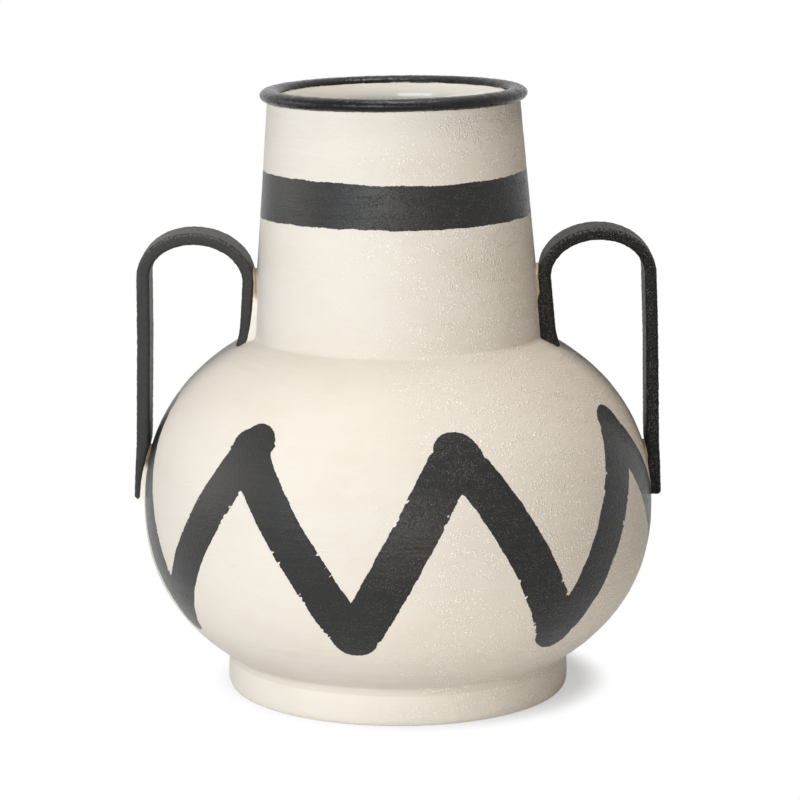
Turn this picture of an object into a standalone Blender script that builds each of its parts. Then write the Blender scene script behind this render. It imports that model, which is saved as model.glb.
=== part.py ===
"""Two-handled stoneware vase: thrown sections, a rolled rim and strap handles, luted together with slip.

Metres, +Z up. The origin is the centre of the foot's underside. +X points to the right handle and -Y to the
front.
"""

import math

import bmesh
import bpy

# Overall
HEIGHT = 0.470  # table to the top of the rim
NECK_LEAN = 0.0035  # how far the neck has drifted to the left by the time it reaches the rim

# Belly: an upper and a lower superellipse that meet at the widest ring
BELLY_RADIUS = 0.1983
WIDEST_HEIGHT = 0.1463
SHOULDER_RISE = 0.1542  # from the widest ring to where the upper curve would close on the axis
SHOULDER_FULLNESS = 2.18  # 2 gives an ellipse, more gives a boxier curve
BOWL_DROP = 0.1485  # from the widest ring to where the lower curve would close on the axis
BOWL_FULLNESS = 2.23
WALL = 0.008
FLOOR = 0.012

# Foot
FOOT_HEIGHT = 0.0288  # table to the crease under the belly
FOOT_RECESS = 0.0115  # table to the underside of the floor
FOOT_RING_WIDTH = 0.026
FOOT_BULGE = 0.0007  # how far the ring swells out below the crease
FOOT_TUCK = 0.0045  # how far the ring turns in at the table
FOOT_ROUND = 0.0080  # height of that turn

# Neck and rim
NECK_BASE_RADIUS = 0.1122
NECK_TOP_RADIUS = 0.0971
RIM_DEPTH = 0.0102  # height of the rolled rim
RIM_OVERHANG_OUT = 0.0056
RIM_OVERHANG_IN = 0.0016
RIM_SEAT = 0.0024  # how deep the neck's lip sits in the roll

# Handles: straps that climb the neck, arch over and drop to the belly
STRAP_WIDTH = 0.044
STRAP_THICKNESS = 0.0085
OUTER_THICKNESS = 0.0097  # the same strap down its outer leg
STRAP_EDGE = 0.0030  # rounding of the strap's corners
HANDLE_LEG = 0.0412  # crease to where the arch springs
ARCH_RISE = 0.0327  # springing to the crown, on the strap's middle line
ARCH_TILT = 0.0052  # how much higher the arch springs from the outer leg than from the inner one
HANDLE_SPLAY = 0.0195  # how far the outer leg leans out, for each unit that it drops
HANDLE_PRESS = 0.0059  # how far the belly reaches into the line of the outer leg
PRESS_EASE = 0.0010  # softness of the bend where the belly takes the strap
PRESS_SHARE = 0.8  # share of that press that thins the strap; the rest moves it out
HANDLE_TIP = 0.0032  # widest ring to the strap's lower end
RIGHT_RAISE = 0.0040  # the right handle was set this much higher than the left

# Joints
SLIP = 0.0008  # thickness of the slip between two thrown sections
LUTE = 0.0010  # least thickness of the slip under a handle
LAP = 0.0060  # height of the half lap between two thrown sections
LUTE_LENGTH = 0.0300  # how far the lower lute climbs the belly
LUTE_START = 0.0040  # crease to the lower edge of the upper lute
GLAZE = 0.0006  # thickness of the glaze inside
GAP = 0.0003  # free space between two neighbouring pieces

# Fineness of the solids
TURN_STEPS = 40
CURVE_STEPS = 8
SEAT_STEPS = 3
RIM_STEPS = 12
ARCH_STEPS = 14
LEG_STEPS = 5
LUTE_STEPS = 4
LUTE_COLUMNS = 6
CORNER_STEPS = 2
TIP_STEPS = 3
TIP_ANGLE = math.radians(72)  # the tip's last ring, where the flat end closes it
SMOOTH_ANGLE = math.radians(40)
MERGE = 1e-6

# Values that follow from the sizes above
JOINT = 2 * GAP + SLIP  # from one section's mating face to the next one's
LUTE_SPACE = 2 * GAP + LUTE  # from a wall to the handle on it
HALF_WALL = WALL / 2
FLOOR_TOP = FOOT_RECESS + FLOOR
LIP_HEIGHT = HEIGHT - RIM_DEPTH + RIM_SEAT

# Colours as linear red, green and blue, with roughness
CLAY = ((0.73, 0.67, 0.56), 0.85)
BLACK_SLIP = ((0.032, 0.031, 0.031), 0.62)
JOINING_SLIP = ((0.70, 0.58, 0.42), 0.80)
LINER_GLAZE = ((0.72, 0.65, 0.53), 0.12)


# Curves of the thrown form


def belly_curve_sizes(above, inset):
    """Half height, half width and fullness of the upper or lower curve, taken in by inset from the outside."""
    rise, fullness = (SHOULDER_RISE, SHOULDER_FULLNESS) if above else (BOWL_DROP, BOWL_FULLNESS)
    return rise - inset, BELLY_RADIUS - inset, fullness


def belly_radius(height, inset=0.0):
    """Radius of the belly at a height, or 0 past the end of its curve."""
    offset = height - WIDEST_HEIGHT
    rise, radius, fullness = belly_curve_sizes(offset >= 0, inset)
    share = min(1.0, abs(offset) / rise)
    return radius * (1 - share**fullness) ** (1 / fullness)


def belly_height(radius, above, inset=0.0):
    """Height at which the upper or lower curve of the belly has a radius."""
    rise, widest, fullness = belly_curve_sizes(above, inset)
    reach = rise * (1 - (radius / widest) ** fullness) ** (1 / fullness)
    return WIDEST_HEIGHT + reach if above else WIDEST_HEIGHT - reach


def belly_curve(start, end, inset=0.0, steps=CURVE_STEPS):
    """Points from one height to another on one side of the widest ring, close together where the curve turns."""
    above = start + end >= 2 * WIDEST_HEIGHT
    rise, radius, fullness = belly_curve_sizes(above, inset)
    turns = [math.asin(min(1.0, abs(z - WIDEST_HEIGHT) / rise) ** (fullness / 2)) for z in (start, end)]
    points = []
    for step in range(steps + 1):
        turn = turns[0] + (turns[1] - turns[0]) * step / steps
        reach = rise * math.sin(turn) ** (2 / fullness)
        height = WIDEST_HEIGHT + reach if above else WIDEST_HEIGHT - reach
        points.append((radius * math.cos(turn) ** (2 / fullness), height))
    return points


CREASE_HEIGHT = belly_height(NECK_BASE_RADIUS, above=True)  # where the neck stands on the shoulder


def neck_radius(height, inset=0.0):
    """Radius of the neck's straight cone at a height."""
    share = (height - CREASE_HEIGHT) / (LIP_HEIGHT - CREASE_HEIGHT)
    return NECK_BASE_RADIUS + (NECK_TOP_RADIUS - NECK_BASE_RADIUS) * share - inset


def lean(height):
    """Sideways drift of everything above the crease."""
    share = max(0.0, (height - CREASE_HEIGHT) / (HEIGHT - CREASE_HEIGHT))
    return -NECK_LEAN * share


def half_lap(radius_at, height, offset):
    """Mating face of a half lap, from the outside in: a ledge, a riser and the tongue's top, moved out by offset."""
    ledge, tongue = height + offset, height + LAP + offset
    depth = HALF_WALL - offset
    return [
        (radius_at(ledge, 0.0), ledge),
        (radius_at(ledge, depth), ledge),
        (radius_at(tongue, depth), tongue),
        (radius_at(tongue, WALL), tongue),
    ]


# Solids


def material(name, finish):
    """A plain material of one colour and roughness."""
    colour, roughness = finish
    made = bpy.data.materials.new(name)
    made.use_nodes = True
    shader = made.node_tree.nodes["Principled BSDF"]
    shader.inputs["Base Color"].default_value = (*colour, 1.0)
    shader.inputs["Roughness"].default_value = roughness
    shader.inputs["Metallic"].default_value = 0.0
    made.diffuse_color = (*colour, 1.0)
    return made


def place(name, shape, origin, finish, parent):
    """Turns a bmesh in the vase's own frame into an object whose origin is at the given point."""
    for vert in shape.verts:
        vert.co.x += lean(vert.co.z)
    bmesh.ops.recalc_face_normals(shape, faces=shape.faces)
    bmesh.ops.translate(shape, verts=shape.verts, vec=[-value for value in origin])
    mesh = bpy.data.meshes.new(name)
    shape.to_mesh(mesh)
    shape.free()
    mesh.shade_smooth()
    mesh.set_sharp_from_angle(angle=SMOOTH_ANGLE)
    mesh.materials.append(finish)
    made = bpy.data.objects.new(name, mesh)
    made.location = origin
    made.parent = parent
    bpy.context.scene.collection.objects.link(made)
    return made


def turned(name, profile, finish, parent):
    """A solid turned on the vase's axis from a closed outline of (radius, height) points."""
    shape = bmesh.new()
    points = [shape.verts.new((radius, 0.0, height)) for radius, height in profile]
    edges = []
    for first, second in zip(points, points[1:] + points[:1]):
        if max(first.co.x, second.co.x) > MERGE:
            edges.append(shape.edges.new((first, second)))
    bmesh.ops.spin(
        shape, geom=points + edges, cent=(0, 0, 0), axis=(0, 0, 1),
        angle=math.tau, steps=TURN_STEPS, use_merge=True,
    )
    bmesh.ops.remove_doubles(shape, verts=shape.verts, dist=MERGE)
    seat = min(height for _, height in profile)
    return place(name, shape, (0.0, 0.0, seat), finish, parent)


def skinned(shape, rings):
    """Joins closed rings of points, one after another, and closes both ends."""
    loops = [[shape.verts.new(point) for point in ring] for ring in rings]
    for near, far in zip(loops, loops[1:]):
        for index in range(len(near)):
            after = (index + 1) % len(near)
            shape.faces.new((near[index], near[after], far[after], far[index]))
    shape.faces.new(loops[0])
    shape.faces.new(loops[-1])


# Thrown sections


def lower_belly(clay, parent):
    """The bowl: a flat floor, a curved wall and, inside its edge, the tongue of the half lap."""
    lap = half_lap(belly_radius, WIDEST_HEIGHT, 0.0)
    outside = belly_curve(FOOT_RECESS, WIDEST_HEIGHT)
    inside = belly_curve(WIDEST_HEIGHT, FLOOR_TOP, WALL)
    profile = [(0.0, FOOT_RECESS), *outside, *lap[1:], *inside, (0.0, FLOOR_TOP)]
    return turned("lower_belly", profile, clay, parent)


def upper_belly(clay, parent):
    """The shoulder dome: the half lap's rebate below, and above it a collar for the neck."""
    below = half_lap(belly_radius, WIDEST_HEIGHT, JOINT)
    collar = half_lap(neck_radius, CREASE_HEIGHT, 0.0)
    throat = belly_height(neck_radius(CREASE_HEIGHT, WALL), True, WALL)
    inside = belly_curve(below[-1][1], throat, WALL)
    outside = belly_curve(CREASE_HEIGHT, below[0][1])
    profile = [*below, *inside[1:], *reversed(collar), *outside[1:-1]]
    return turned("upper_belly", profile, clay, parent)


def neck(clay, parent):
    """The neck: a straight cone that narrows to the lip, with a rebate that fits over the shoulder's collar."""
    below = half_lap(neck_radius, CREASE_HEIGHT, JOINT)
    profile = [*below, (neck_radius(LIP_HEIGHT, WALL), LIP_HEIGHT), (neck_radius(LIP_HEIGHT), LIP_HEIGHT)]
    return turned("neck", profile, clay, parent)


def foot_outline():
    """Inner radius, outer radius and the height of the outer top edge of the foot ring."""
    top = FOOT_HEIGHT - JOINT
    outer = belly_radius(top, -JOINT)
    return outer - FOOT_RING_WIDTH, outer, top


def bowl_underside(inner, outer, inset):
    """Points from an inner to an outer radius on the bowl's underside, moved down by a negative inset."""
    radii = [inner + (outer - inner) * step / SEAT_STEPS for step in range(SEAT_STEPS + 1)]
    return [(radius, belly_height(radius, False, inset)) for radius in radii]


def foot_ring(clay, parent):
    """The foot: a ring with a curved seat for the bowl, a slight swell and a rounded lower edge."""
    inner, outer, _ = foot_outline()
    seat = bowl_underside(inner, outer, -JOINT)
    widest = outer + FOOT_BULGE
    edge = []
    for step in range(CURVE_STEPS // 2 + 1):
        turn = math.pi / 2 * step / (CURVE_STEPS // 2)
        across = widest - FOOT_TUCK * (1 - math.cos(turn))
        edge.append((across, FOOT_ROUND * (1 - math.sin(turn))))
    profile = [(inner, 0.0), *seat, *edge]
    return turned("foot_ring", profile, clay, parent)


def rim_roll(black, parent):
    """The rim: a roll of oval section with a groove that sits over the neck's lip."""
    mouth = HEIGHT - RIM_DEPTH
    groove_out = neck_radius(mouth) + GAP
    groove_in = neck_radius(LIP_HEIGHT, WALL) - GAP
    ceiling = LIP_HEIGHT + JOINT
    outer = NECK_TOP_RADIUS + RIM_OVERHANG_OUT
    inner = NECK_TOP_RADIUS - WALL - RIM_OVERHANG_IN
    middle, half_width, half_depth = (outer + inner) / 2, (outer - inner) / 2, RIM_DEPTH / 2
    start = -math.acos((groove_out - middle) / half_width)
    end = math.tau - math.acos((groove_in - middle) / half_width)
    profile = [(groove_in, ceiling), (groove_out, ceiling)]
    for step in range(RIM_STEPS + 1):
        turn = start + (end - start) * step / RIM_STEPS
        profile.append((middle + half_width * math.cos(turn), HEIGHT - half_depth + half_depth * math.sin(turn)))
    return turned("rim_roll", profile, black, parent)


# Slip between the thrown sections


def lap_slip(name, radius_at, height, slip, parent):
    """A ring of slip that fills a half lap."""
    profile = [*half_lap(radius_at, height, GAP), *reversed(half_lap(radius_at, height, GAP + SLIP))]
    return turned(name, profile, slip, parent)


def foot_slip(slip, parent):
    """The slip between the bowl and the foot ring."""
    inner, outer, _ = foot_outline()
    above = bowl_underside(inner, outer, -GAP)
    below = bowl_underside(inner, outer, -GAP - SLIP)
    return turned("foot_slip_joint", [*above, *reversed(below)], slip, parent)


def rim_slip(slip, parent):
    """The slip on the neck's lip, under the rim."""
    inner, outer = neck_radius(LIP_HEIGHT, WALL), neck_radius(LIP_HEIGHT)
    bottom, top = LIP_HEIGHT + GAP, LIP_HEIGHT + GAP + SLIP
    profile = [(inner, bottom), (outer, bottom), (outer, top), (inner, top)]
    return turned("rim_slip_joint", profile, slip, parent)


# Glaze


def lining_face(depth):
    """The inside of the vase, from the middle of the floor to just under the rim, at a depth from the clay."""
    inset = WALL + depth
    floor = FLOOR_TOP + depth
    top = HEIGHT - RIM_DEPTH - GAP
    throat = belly_height(neck_radius(CREASE_HEIGHT, inset), True, inset)
    bowl = belly_curve(floor, WIDEST_HEIGHT, inset)
    dome = belly_curve(WIDEST_HEIGHT, throat, inset)
    return [(0.0, floor), *bowl, *dome[1:], (neck_radius(top, inset), top)]


def glaze_lining(glaze, parent):
    """The coat of glaze that makes the inside hold water."""
    profile = [*lining_face(GAP), *reversed(lining_face(GAP + GLAZE))]
    return turned("glaze_lining", profile, glaze, parent)


# Handles


def strap_end(raised):
    """Height at which the strap's rounded lower tip begins."""
    return WIDEST_HEIGHT + HANDLE_TIP + STRAP_THICKNESS / 2 + raised


def outer_leg(height, raised):
    """Middle and thickness of the strap's outer leg at a height, pressed thin where the belly meets it."""
    end = strap_end(raised)
    free_face = belly_radius(end) + LUTE_SPACE - HANDLE_PRESS - HANDLE_SPLAY * (height - end)
    reach = belly_radius(height) + LUTE_SPACE - free_face
    pressed = (reach + math.hypot(reach, PRESS_EASE)) / 2
    thickness = OUTER_THICKNESS - PRESS_SHARE * pressed
    return free_face + pressed + thickness / 2, thickness


def inner_leg(height):
    """Middle of the strap's inner leg, which lies along the neck."""
    return neck_radius(height) + LUTE_SPACE + STRAP_THICKNESS / 2


def strap_stations(raised):
    """(x, height, thickness) of the strap's middle, from the shoulder over the arch to the tip on the belly."""
    spring = CREASE_HEIGHT + HANDLE_LEG + raised
    end = strap_end(raised)
    stations = []
    for step in range(LEG_STEPS):
        height = CREASE_HEIGHT + (spring - CREASE_HEIGHT) * step / LEG_STEPS
        stations.append((inner_leg(height), height, STRAP_THICKNESS))
    near, (far, spring_thickness) = inner_leg(spring), outer_leg(spring + ARCH_TILT, raised)
    neck_slope = (NECK_TOP_RADIUS - NECK_BASE_RADIUS) / (LIP_HEIGHT - CREASE_HEIGHT)
    for step in range(ARCH_STEPS + 1):
        turn = math.pi * step / ARCH_STEPS
        share = (1 - math.cos(turn)) / 2
        slope = neck_slope * (1 - share) - HANDLE_SPLAY * share
        across = near + (far - near) * share + slope * ARCH_RISE * math.sin(turn)
        thickness = STRAP_THICKNESS + (spring_thickness - STRAP_THICKNESS) * share
        stations.append((across, spring + ARCH_TILT * share + ARCH_RISE * math.sin(turn), thickness))
    for step in range(1, 2 * LEG_STEPS + 1):
        height = end + (spring + ARCH_TILT - end) * (1 - step / (2 * LEG_STEPS))
        stations.append((outer_leg(height, raised)[0], height, outer_leg(height, raised)[1]))
    across, _, thickness = stations[-1]
    for step in range(1, TIP_STEPS + 1):
        turn = TIP_ANGLE * step / TIP_STEPS
        stations.append((across, end - thickness / 2 * math.sin(turn), thickness * math.cos(turn)))
    return stations


def strap_section(thickness):
    """A flat rounded section as (across the thickness, along the width) points."""
    corner = min(STRAP_EDGE, thickness / 2 - MERGE)
    flat_x, flat_y = thickness / 2 - corner, STRAP_WIDTH / 2 - STRAP_EDGE
    points = []
    for quarter, (side_x, side_y) in enumerate(((1, 1), (-1, 1), (-1, -1), (1, -1))):
        for step in range(CORNER_STEPS + 1):
            turn = math.pi / 2 * (quarter + step / CORNER_STEPS)
            points.append((side_x * flat_x + corner * math.cos(turn), side_y * flat_y + STRAP_EDGE * math.sin(turn)))
    return points


def handle(name, side, raised, black, parent):
    """A strap handle: its inner leg stands on the shoulder along the neck, its outer leg ends on the belly."""
    stations = strap_stations(raised)
    rings = []
    for index, (across, height, thickness) in enumerate(stations):
        before, after = stations[max(0, index - 1)], stations[min(len(stations) - 1, index + 1)]
        run_x, run_z = after[0] - before[0], after[1] - before[1]
        length = math.hypot(run_x, run_z)
        out_x, out_z = run_z / length, -run_x / length
        ring = [(across + out_x * off, along, height + out_z * off) for off, along in strap_section(thickness)]
        rings.append(ring)
    rings[0] = [(x, y, belly_height(max(x, NECK_BASE_RADIUS), True) + GAP) for x, y, _ in rings[0]]
    shape = bmesh.new()
    skinned(shape, [[(side * x, y, z) for x, y, z in ring] for ring in rings])
    return place(name, shape, (side * stations[0][0], 0.0, CREASE_HEIGHT), black, parent)


def lute(name, side, start, end, wall_at, face_at, slip, parent):
    """A pad of slip between a wall and a strap: hollow on the wall's side, flat on the strap's."""
    half = STRAP_WIDTH / 2 - STRAP_EDGE
    rings = []
    for step in range(LUTE_STEPS + 1):
        height = start + (end - start) * step / LUTE_STEPS
        wall, face = wall_at(height) + GAP, face_at(height) - GAP
        widths = [half * (2 * column / LUTE_COLUMNS - 1) for column in range(LUTE_COLUMNS + 1)]
        hollow = [(math.sqrt(wall**2 - width**2), width, height) for width in widths]
        flat = [(face, width, height) for width in reversed(widths)]
        rings.append([(side * x, y, z) for x, y, z in hollow + flat])
    shape = bmesh.new()
    skinned(shape, rings)
    return place(name, shape, (side * wall_at(start), 0.0, start), slip, parent)


def handle_with_lutes(word, side, raised, black, slip, parent):
    """One handle and the two pads of slip that hold it."""
    handle(f"handle_{word}", side, raised, black, parent)
    spring = CREASE_HEIGHT + HANDLE_LEG + raised
    lute(
        f"lute_{word}_neck", side, CREASE_HEIGHT + LUTE_START, spring, neck_radius,
        lambda height: neck_radius(height) + LUTE_SPACE, slip, parent,
    )
    end = strap_end(raised)
    lute(
        f"lute_{word}_belly", side, end, end + LUTE_LENGTH, belly_radius,
        lambda height: outer_leg(height, raised)[0] - outer_leg(height, raised)[1] / 2, slip, parent,
    )


def main():
    """Clears the scene and builds the vase from the foot up."""
    for old in list(bpy.data.objects):
        bpy.data.objects.remove(old)
    clay = material("raw_clay", CLAY)
    black = material("black_slip", BLACK_SLIP)
    slip = material("joining_slip", JOINING_SLIP)
    glaze = material("liner_glaze", LINER_GLAZE)
    vase = bpy.data.objects.new("vase", None)
    bpy.context.scene.collection.objects.link(vase)
    foot_ring(clay, vase)
    foot_slip(slip, vase)
    lower_belly(clay, vase)
    lap_slip("belly_slip_joint", belly_radius, WIDEST_HEIGHT, slip, vase)
    upper_belly(clay, vase)
    lap_slip("neck_slip_joint", neck_radius, CREASE_HEIGHT, slip, vase)
    neck(clay, vase)
    rim_slip(slip, vase)
    rim_roll(black, vase)
    glaze_lining(glaze, vase)
    handle_with_lutes("left", -1, 0.0, black, slip, vase)
    handle_with_lutes("right", 1, RIGHT_RAISE, black, slip, vase)


main()
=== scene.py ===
"""Dresses the two-handled stoneware vase: thrown clay under sandy cream slip, a black rim and black straps.

Metres, +Z up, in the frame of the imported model. -Y is the front and +X the right handle.
"""

import logging
import math
from dataclasses import dataclass, field
from enum import Enum
from typing import Callable, Iterable, Sequence, Union

import bpy
import numpy as np
from mathutils import Euler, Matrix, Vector, noise


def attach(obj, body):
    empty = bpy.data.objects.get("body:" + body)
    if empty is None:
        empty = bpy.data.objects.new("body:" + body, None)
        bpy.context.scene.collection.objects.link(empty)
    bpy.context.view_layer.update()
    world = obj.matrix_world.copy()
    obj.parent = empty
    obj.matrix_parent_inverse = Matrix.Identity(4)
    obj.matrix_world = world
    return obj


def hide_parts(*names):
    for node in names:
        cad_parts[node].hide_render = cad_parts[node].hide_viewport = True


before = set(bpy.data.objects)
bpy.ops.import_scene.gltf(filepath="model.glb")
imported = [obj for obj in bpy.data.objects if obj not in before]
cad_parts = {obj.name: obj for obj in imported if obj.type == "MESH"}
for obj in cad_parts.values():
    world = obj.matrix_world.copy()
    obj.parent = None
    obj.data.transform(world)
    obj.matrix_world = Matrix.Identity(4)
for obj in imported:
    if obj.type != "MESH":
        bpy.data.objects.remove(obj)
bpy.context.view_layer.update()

LOG = logging.getLogger("vase")
BODY = "root"
STROKE_LAYER = "brush_stroke"
BARE_AND_SHADE_LAYER = "bare_clay_and_crevice_shade"
PAINTED_LAYER = "black_over_slip"
# Layer of the painted highlight along the straps' top edges.
EDGE_HIGHLIGHT_LAYER = "painted_edge_highlight"
MM = 0.001

SAME_POINT = 1e-7
ON_AXIS = 1e-6
SHARP_ANGLE = 45.0
CLAY_IOR = 1.5
PURE_BLACK = (0.0, 0.0, 0.0)

Array = np.ndarray
Point = tuple[float, float]
Triple = tuple[float, float, float]
Colour = Triple
Socket = bpy.types.NodeSocket
Value = Union[float, Sequence[float], Socket]


class Slot(Enum):
    """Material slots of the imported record."""

    CLAY = "raw_clay"
    BLACK = "black_slip"
    JOIN = "joining_slip"
    GLAZE = "liner_glaze"


class Side(Enum):
    """The two handles, by the sign of their X."""

    LEFT = -1
    RIGHT = 1

    @property
    def word(self) -> str:
        """The side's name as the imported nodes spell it."""
        return self.name.lower()


class Joint(Enum):
    """The two places where a strap is luted on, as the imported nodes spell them."""

    NECK = "neck"
    BELLY = "belly"


# Curves of the thrown form


@dataclass(frozen=True)
class ThrownForm:
    """Outside and inside curves of the thrown vase."""

    height: float = 0.470
    neck_lean: float = 0.0035
    widest_radius: float = 0.1983
    widest_height: float = 0.1463
    shoulder_rise: float = 0.1542
    shoulder_fullness: float = 2.18
    bowl_drop: float = 0.1485
    bowl_fullness: float = 2.23
    wall: float = 0.008
    floor: float = 0.012
    foot_height: float = 0.0288
    foot_recess: float = 0.0115
    neck_base: float = 0.1122
    neck_top: float = 0.0971
    rim_depth: float = 0.0102
    rim_seat: float = 0.0024
    rim_tilt: float = 0.00125
    tilt_start: float = 0.060
    tilt_run: float = 0.045
    lap: float = 0.0060
    slip: float = 0.0008
    gap: float = 0.0003

    @property
    def joint(self) -> float:
        """Distance between the mating faces of two thrown sections."""
        return 2 * self.gap + self.slip

    @property
    def floor_top(self) -> float:
        """Height of the floor inside."""
        return self.foot_recess + self.floor

    @property
    def lip(self) -> float:
        """Height of the neck's lip, inside the rolled rim."""
        return self.height - self.rim_depth + self.rim_seat

    @property
    def crease(self) -> float:
        """Height of the crease where the neck stands on the shoulder."""
        return self.belly_height(self.neck_base, above=True)

    def sizes(self, above: bool, inset: float) -> tuple[float, float, float]:
        """Half height, half width and fullness of one half of the belly.

        Args:
            above: True for the shoulder, False for the bowl.
            inset: How far in from the outside the curve lies.

        Returns:
            The three sizes of the superellipse.
        """
        if above:
            return self.shoulder_rise - inset, self.widest_radius - inset, self.shoulder_fullness
        return self.bowl_drop - inset, self.widest_radius - inset, self.bowl_fullness

    def belly_at(self, height: float, inset: float = 0.0) -> float:
        """Radius of the belly at a height.

        Args:
            height: Height over the table.
            inset: How far in from the outside the curve lies.

        Returns:
            The radius, or 0 past the end of the curve.
        """
        offset = height - self.widest_height
        rise, radius, fullness = self.sizes(offset >= 0, inset)
        share = min(1.0, abs(offset) / rise)
        return radius * (1 - share**fullness) ** (1 / fullness)

    def belly_height(self, radius: float, above: bool, inset: float = 0.0) -> float:
        """Height at which one half of the belly has a radius.

        Args:
            radius: Radius wanted.
            above: True for the shoulder, False for the bowl.
            inset: How far in from the outside the curve lies.

        Returns:
            The height over the table.
        """
        rise, widest, fullness = self.sizes(above, inset)
        reach = rise * (1 - (radius / widest) ** fullness) ** (1 / fullness)
        return self.widest_height + (reach if above else -reach)

    def belly_curve(self, start: float, end: float, inset: float = 0.0, steps: int = 160) -> list[Point]:
        """Closely spaced points from one height to another on one side of the widest ring.

        Args:
            start: Height of the first point.
            end: Height of the last point.
            inset: How far in from the outside the curve lies.
            steps: Number of stretches.

        Returns:
            (radius, height) points.
        """
        above = start + end >= 2 * self.widest_height
        rise, radius, fullness = self.sizes(above, inset)
        first, last = (
            math.asin(min(1.0, abs(z - self.widest_height) / rise) ** (fullness / 2)) for z in (start, end)
        )
        points = []
        for turn in np.linspace(first, last, steps + 1):
            reach = rise * math.sin(turn) ** (2 / fullness)
            height = self.widest_height + (reach if above else -reach)
            points.append((radius * math.cos(turn) ** (2 / fullness), height))
        return points

    def neck_at(self, height: float, inset: float = 0.0) -> float:
        """Radius of the neck's straight cone at a height."""
        share = (height - self.crease) / (self.lip - self.crease)
        return self.neck_base + (self.neck_top - self.neck_base) * share - inset

    def lean_at(self, heights: Array) -> Array:
        """Sideways drift of everything above the crease, at each height."""
        share = np.maximum(0.0, (heights - self.crease) / (self.height - self.crease))
        return -self.neck_lean * share

    def tilt_at(self, heights: Array) -> Array:
        """Rise of the right side over the middle near the rim, at each height."""
        return self.rim_tilt * np.clip((heights - self.height + self.tilt_start) / self.tilt_run, 0.0, 1.0)

    def half_lap(
        self, radius_at: Callable[[float, float], float], height: float, offset: float,
    ) -> list[Point]:
        """Mating face of a half lap from the outside in, moved out by an offset.

        Args:
            radius_at: Radius at a height and an inset.
            height: Height of the ledge.
            offset: How far the face is moved from the lower section's own face.

        Returns:
            The ledge's two ends and the tongue's two ends.
        """
        ledge, tongue = height + offset, height + self.lap + offset
        depth = self.wall / 2 - offset
        return [
            (radius_at(ledge, 0.0), ledge),
            (radius_at(ledge, depth), ledge),
            (radius_at(tongue, depth), tongue),
            (radius_at(tongue, self.wall), tongue),
        ]


# Meshes


def clamp(share: float) -> float:
    """A number kept between 0 and 1."""
    return min(1.0, max(0.0, share))


def lengths_along(path: Array) -> Array:
    """Distance along a path from its start to each of its points."""
    return np.concatenate(([0.0], np.cumsum(np.linalg.norm(np.diff(path, axis=0), axis=1))))


def points_along(path: Array, lengths: Array, stops: Array) -> Array:
    """Points of a path at given distances along it.

    Args:
        path: Rows of numbers.
        lengths: Distance along the path to each row.
        stops: The distances wanted.

    Returns:
        One row for each stop.
    """
    return np.column_stack([np.interp(stops, lengths, column) for column in path.T])


def noise_at(points: Array, scale: Sequence[float], seed: float) -> Array:
    """Smooth noise from -1 to 1 at each point.

    Args:
        points: Rows of x, y and z.
        scale: Bumps to the metre along each axis.
        seed: Shifts the noise, so that each use has its own.

    Returns:
        One value for each point.
    """
    shifted = points * np.asarray(scale) + seed
    return np.array([noise.noise(Vector(row)) for row in shifted.tolist()])


@dataclass(frozen=True)
class ThrowingMarks:
    """Unevenness that hands, ribs and slip leave on the clay, as offsets along the surface's normal."""

    wobble: float = 0.28 * MM
    ridge: float = 0.13 * MM
    lump: float = 0.09 * MM
    grit: float = 0.0
    seed: float = 3.7
    wobble_scale: Triple = (9.0, 9.0, 7.0)
    ridge_scale: Triple = (5.0, 5.0, 85.0)
    ridge_shift: float = 11.3
    fine_scale: Triple = (8.0, 8.0, 210.0)
    fine_shift: float = 23.9
    fine_share: float = 0.5
    lump_scale: Triple = (130.0, 130.0, 170.0)
    lump_shift: float = 37.1
    grit_scale: Triple = (430.0, 430.0, 430.0)
    grit_shift: float = 51.7

    def offsets(self, points: Array) -> Array:
        """How far each point stands out of the true form.

        Args:
            points: Rows of x, y and z on the true form.

        Returns:
            One offset for each point.
        """
        wobble = noise_at(points, self.wobble_scale, self.seed)
        ridges = noise_at(points, self.ridge_scale, self.seed + self.ridge_shift)
        fine_ridges = noise_at(points, self.fine_scale, self.seed + self.fine_shift)
        lumps = noise_at(points, self.lump_scale, self.seed + self.lump_shift)
        ridges = ridges + self.fine_share * fine_ridges
        smooth = self.wobble * wobble + self.ridge * ridges + self.lump * lumps
        if not self.grit:
            return smooth
        return smooth + self.grit * noise_at(points, self.grit_scale, self.seed + self.grit_shift)


@dataclass
class Outline:
    """A closed outline to turn on the axis, counterclockwise seen with the radius to the right."""

    points: list[Point] = field(default_factory=list)
    skin: list[float] = field(default_factory=list)

    def run(
        self, points: Sequence[Point], spacing: float = 0.0, skin: float = 0.0, hem: float = 0.0,
    ) -> "Outline":
        """Adds a stretch of outline.

        Args:
            points: (radius, height) points.
            spacing: Resamples the stretch to about this distance, unless it is 0.
            skin: Share of the throwing marks that shows on this stretch.
            hem: Adds a point this close to each end, so that pieces shade alike where they meet.

        Returns:
            This outline.
        """
        path = np.asarray(points, dtype=float)
        if spacing:
            lengths = lengths_along(path)
            stops = np.linspace(0.0, lengths[-1], max(2, round(lengths[-1] / spacing) + 1))
            if hem:
                stops = np.sort(np.append(stops, (hem, lengths[-1] - hem)))
            path = points_along(path, lengths, stops)
        self.points.extend(map(tuple, path.tolist()))
        self.skin.extend([skin] * len(path))
        return self

    def tidy(self) -> tuple[Array, Array]:
        """The outline's points and skin shares, without points that repeat.

        Returns:
            Rows of radius and height, and one share for each row.
        """
        path, skin = np.asarray(self.points), np.asarray(self.skin)
        apart = np.linalg.norm(path - np.roll(path, 1, axis=0), axis=1) > SAME_POINT
        return path[apart], skin[apart]


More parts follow.
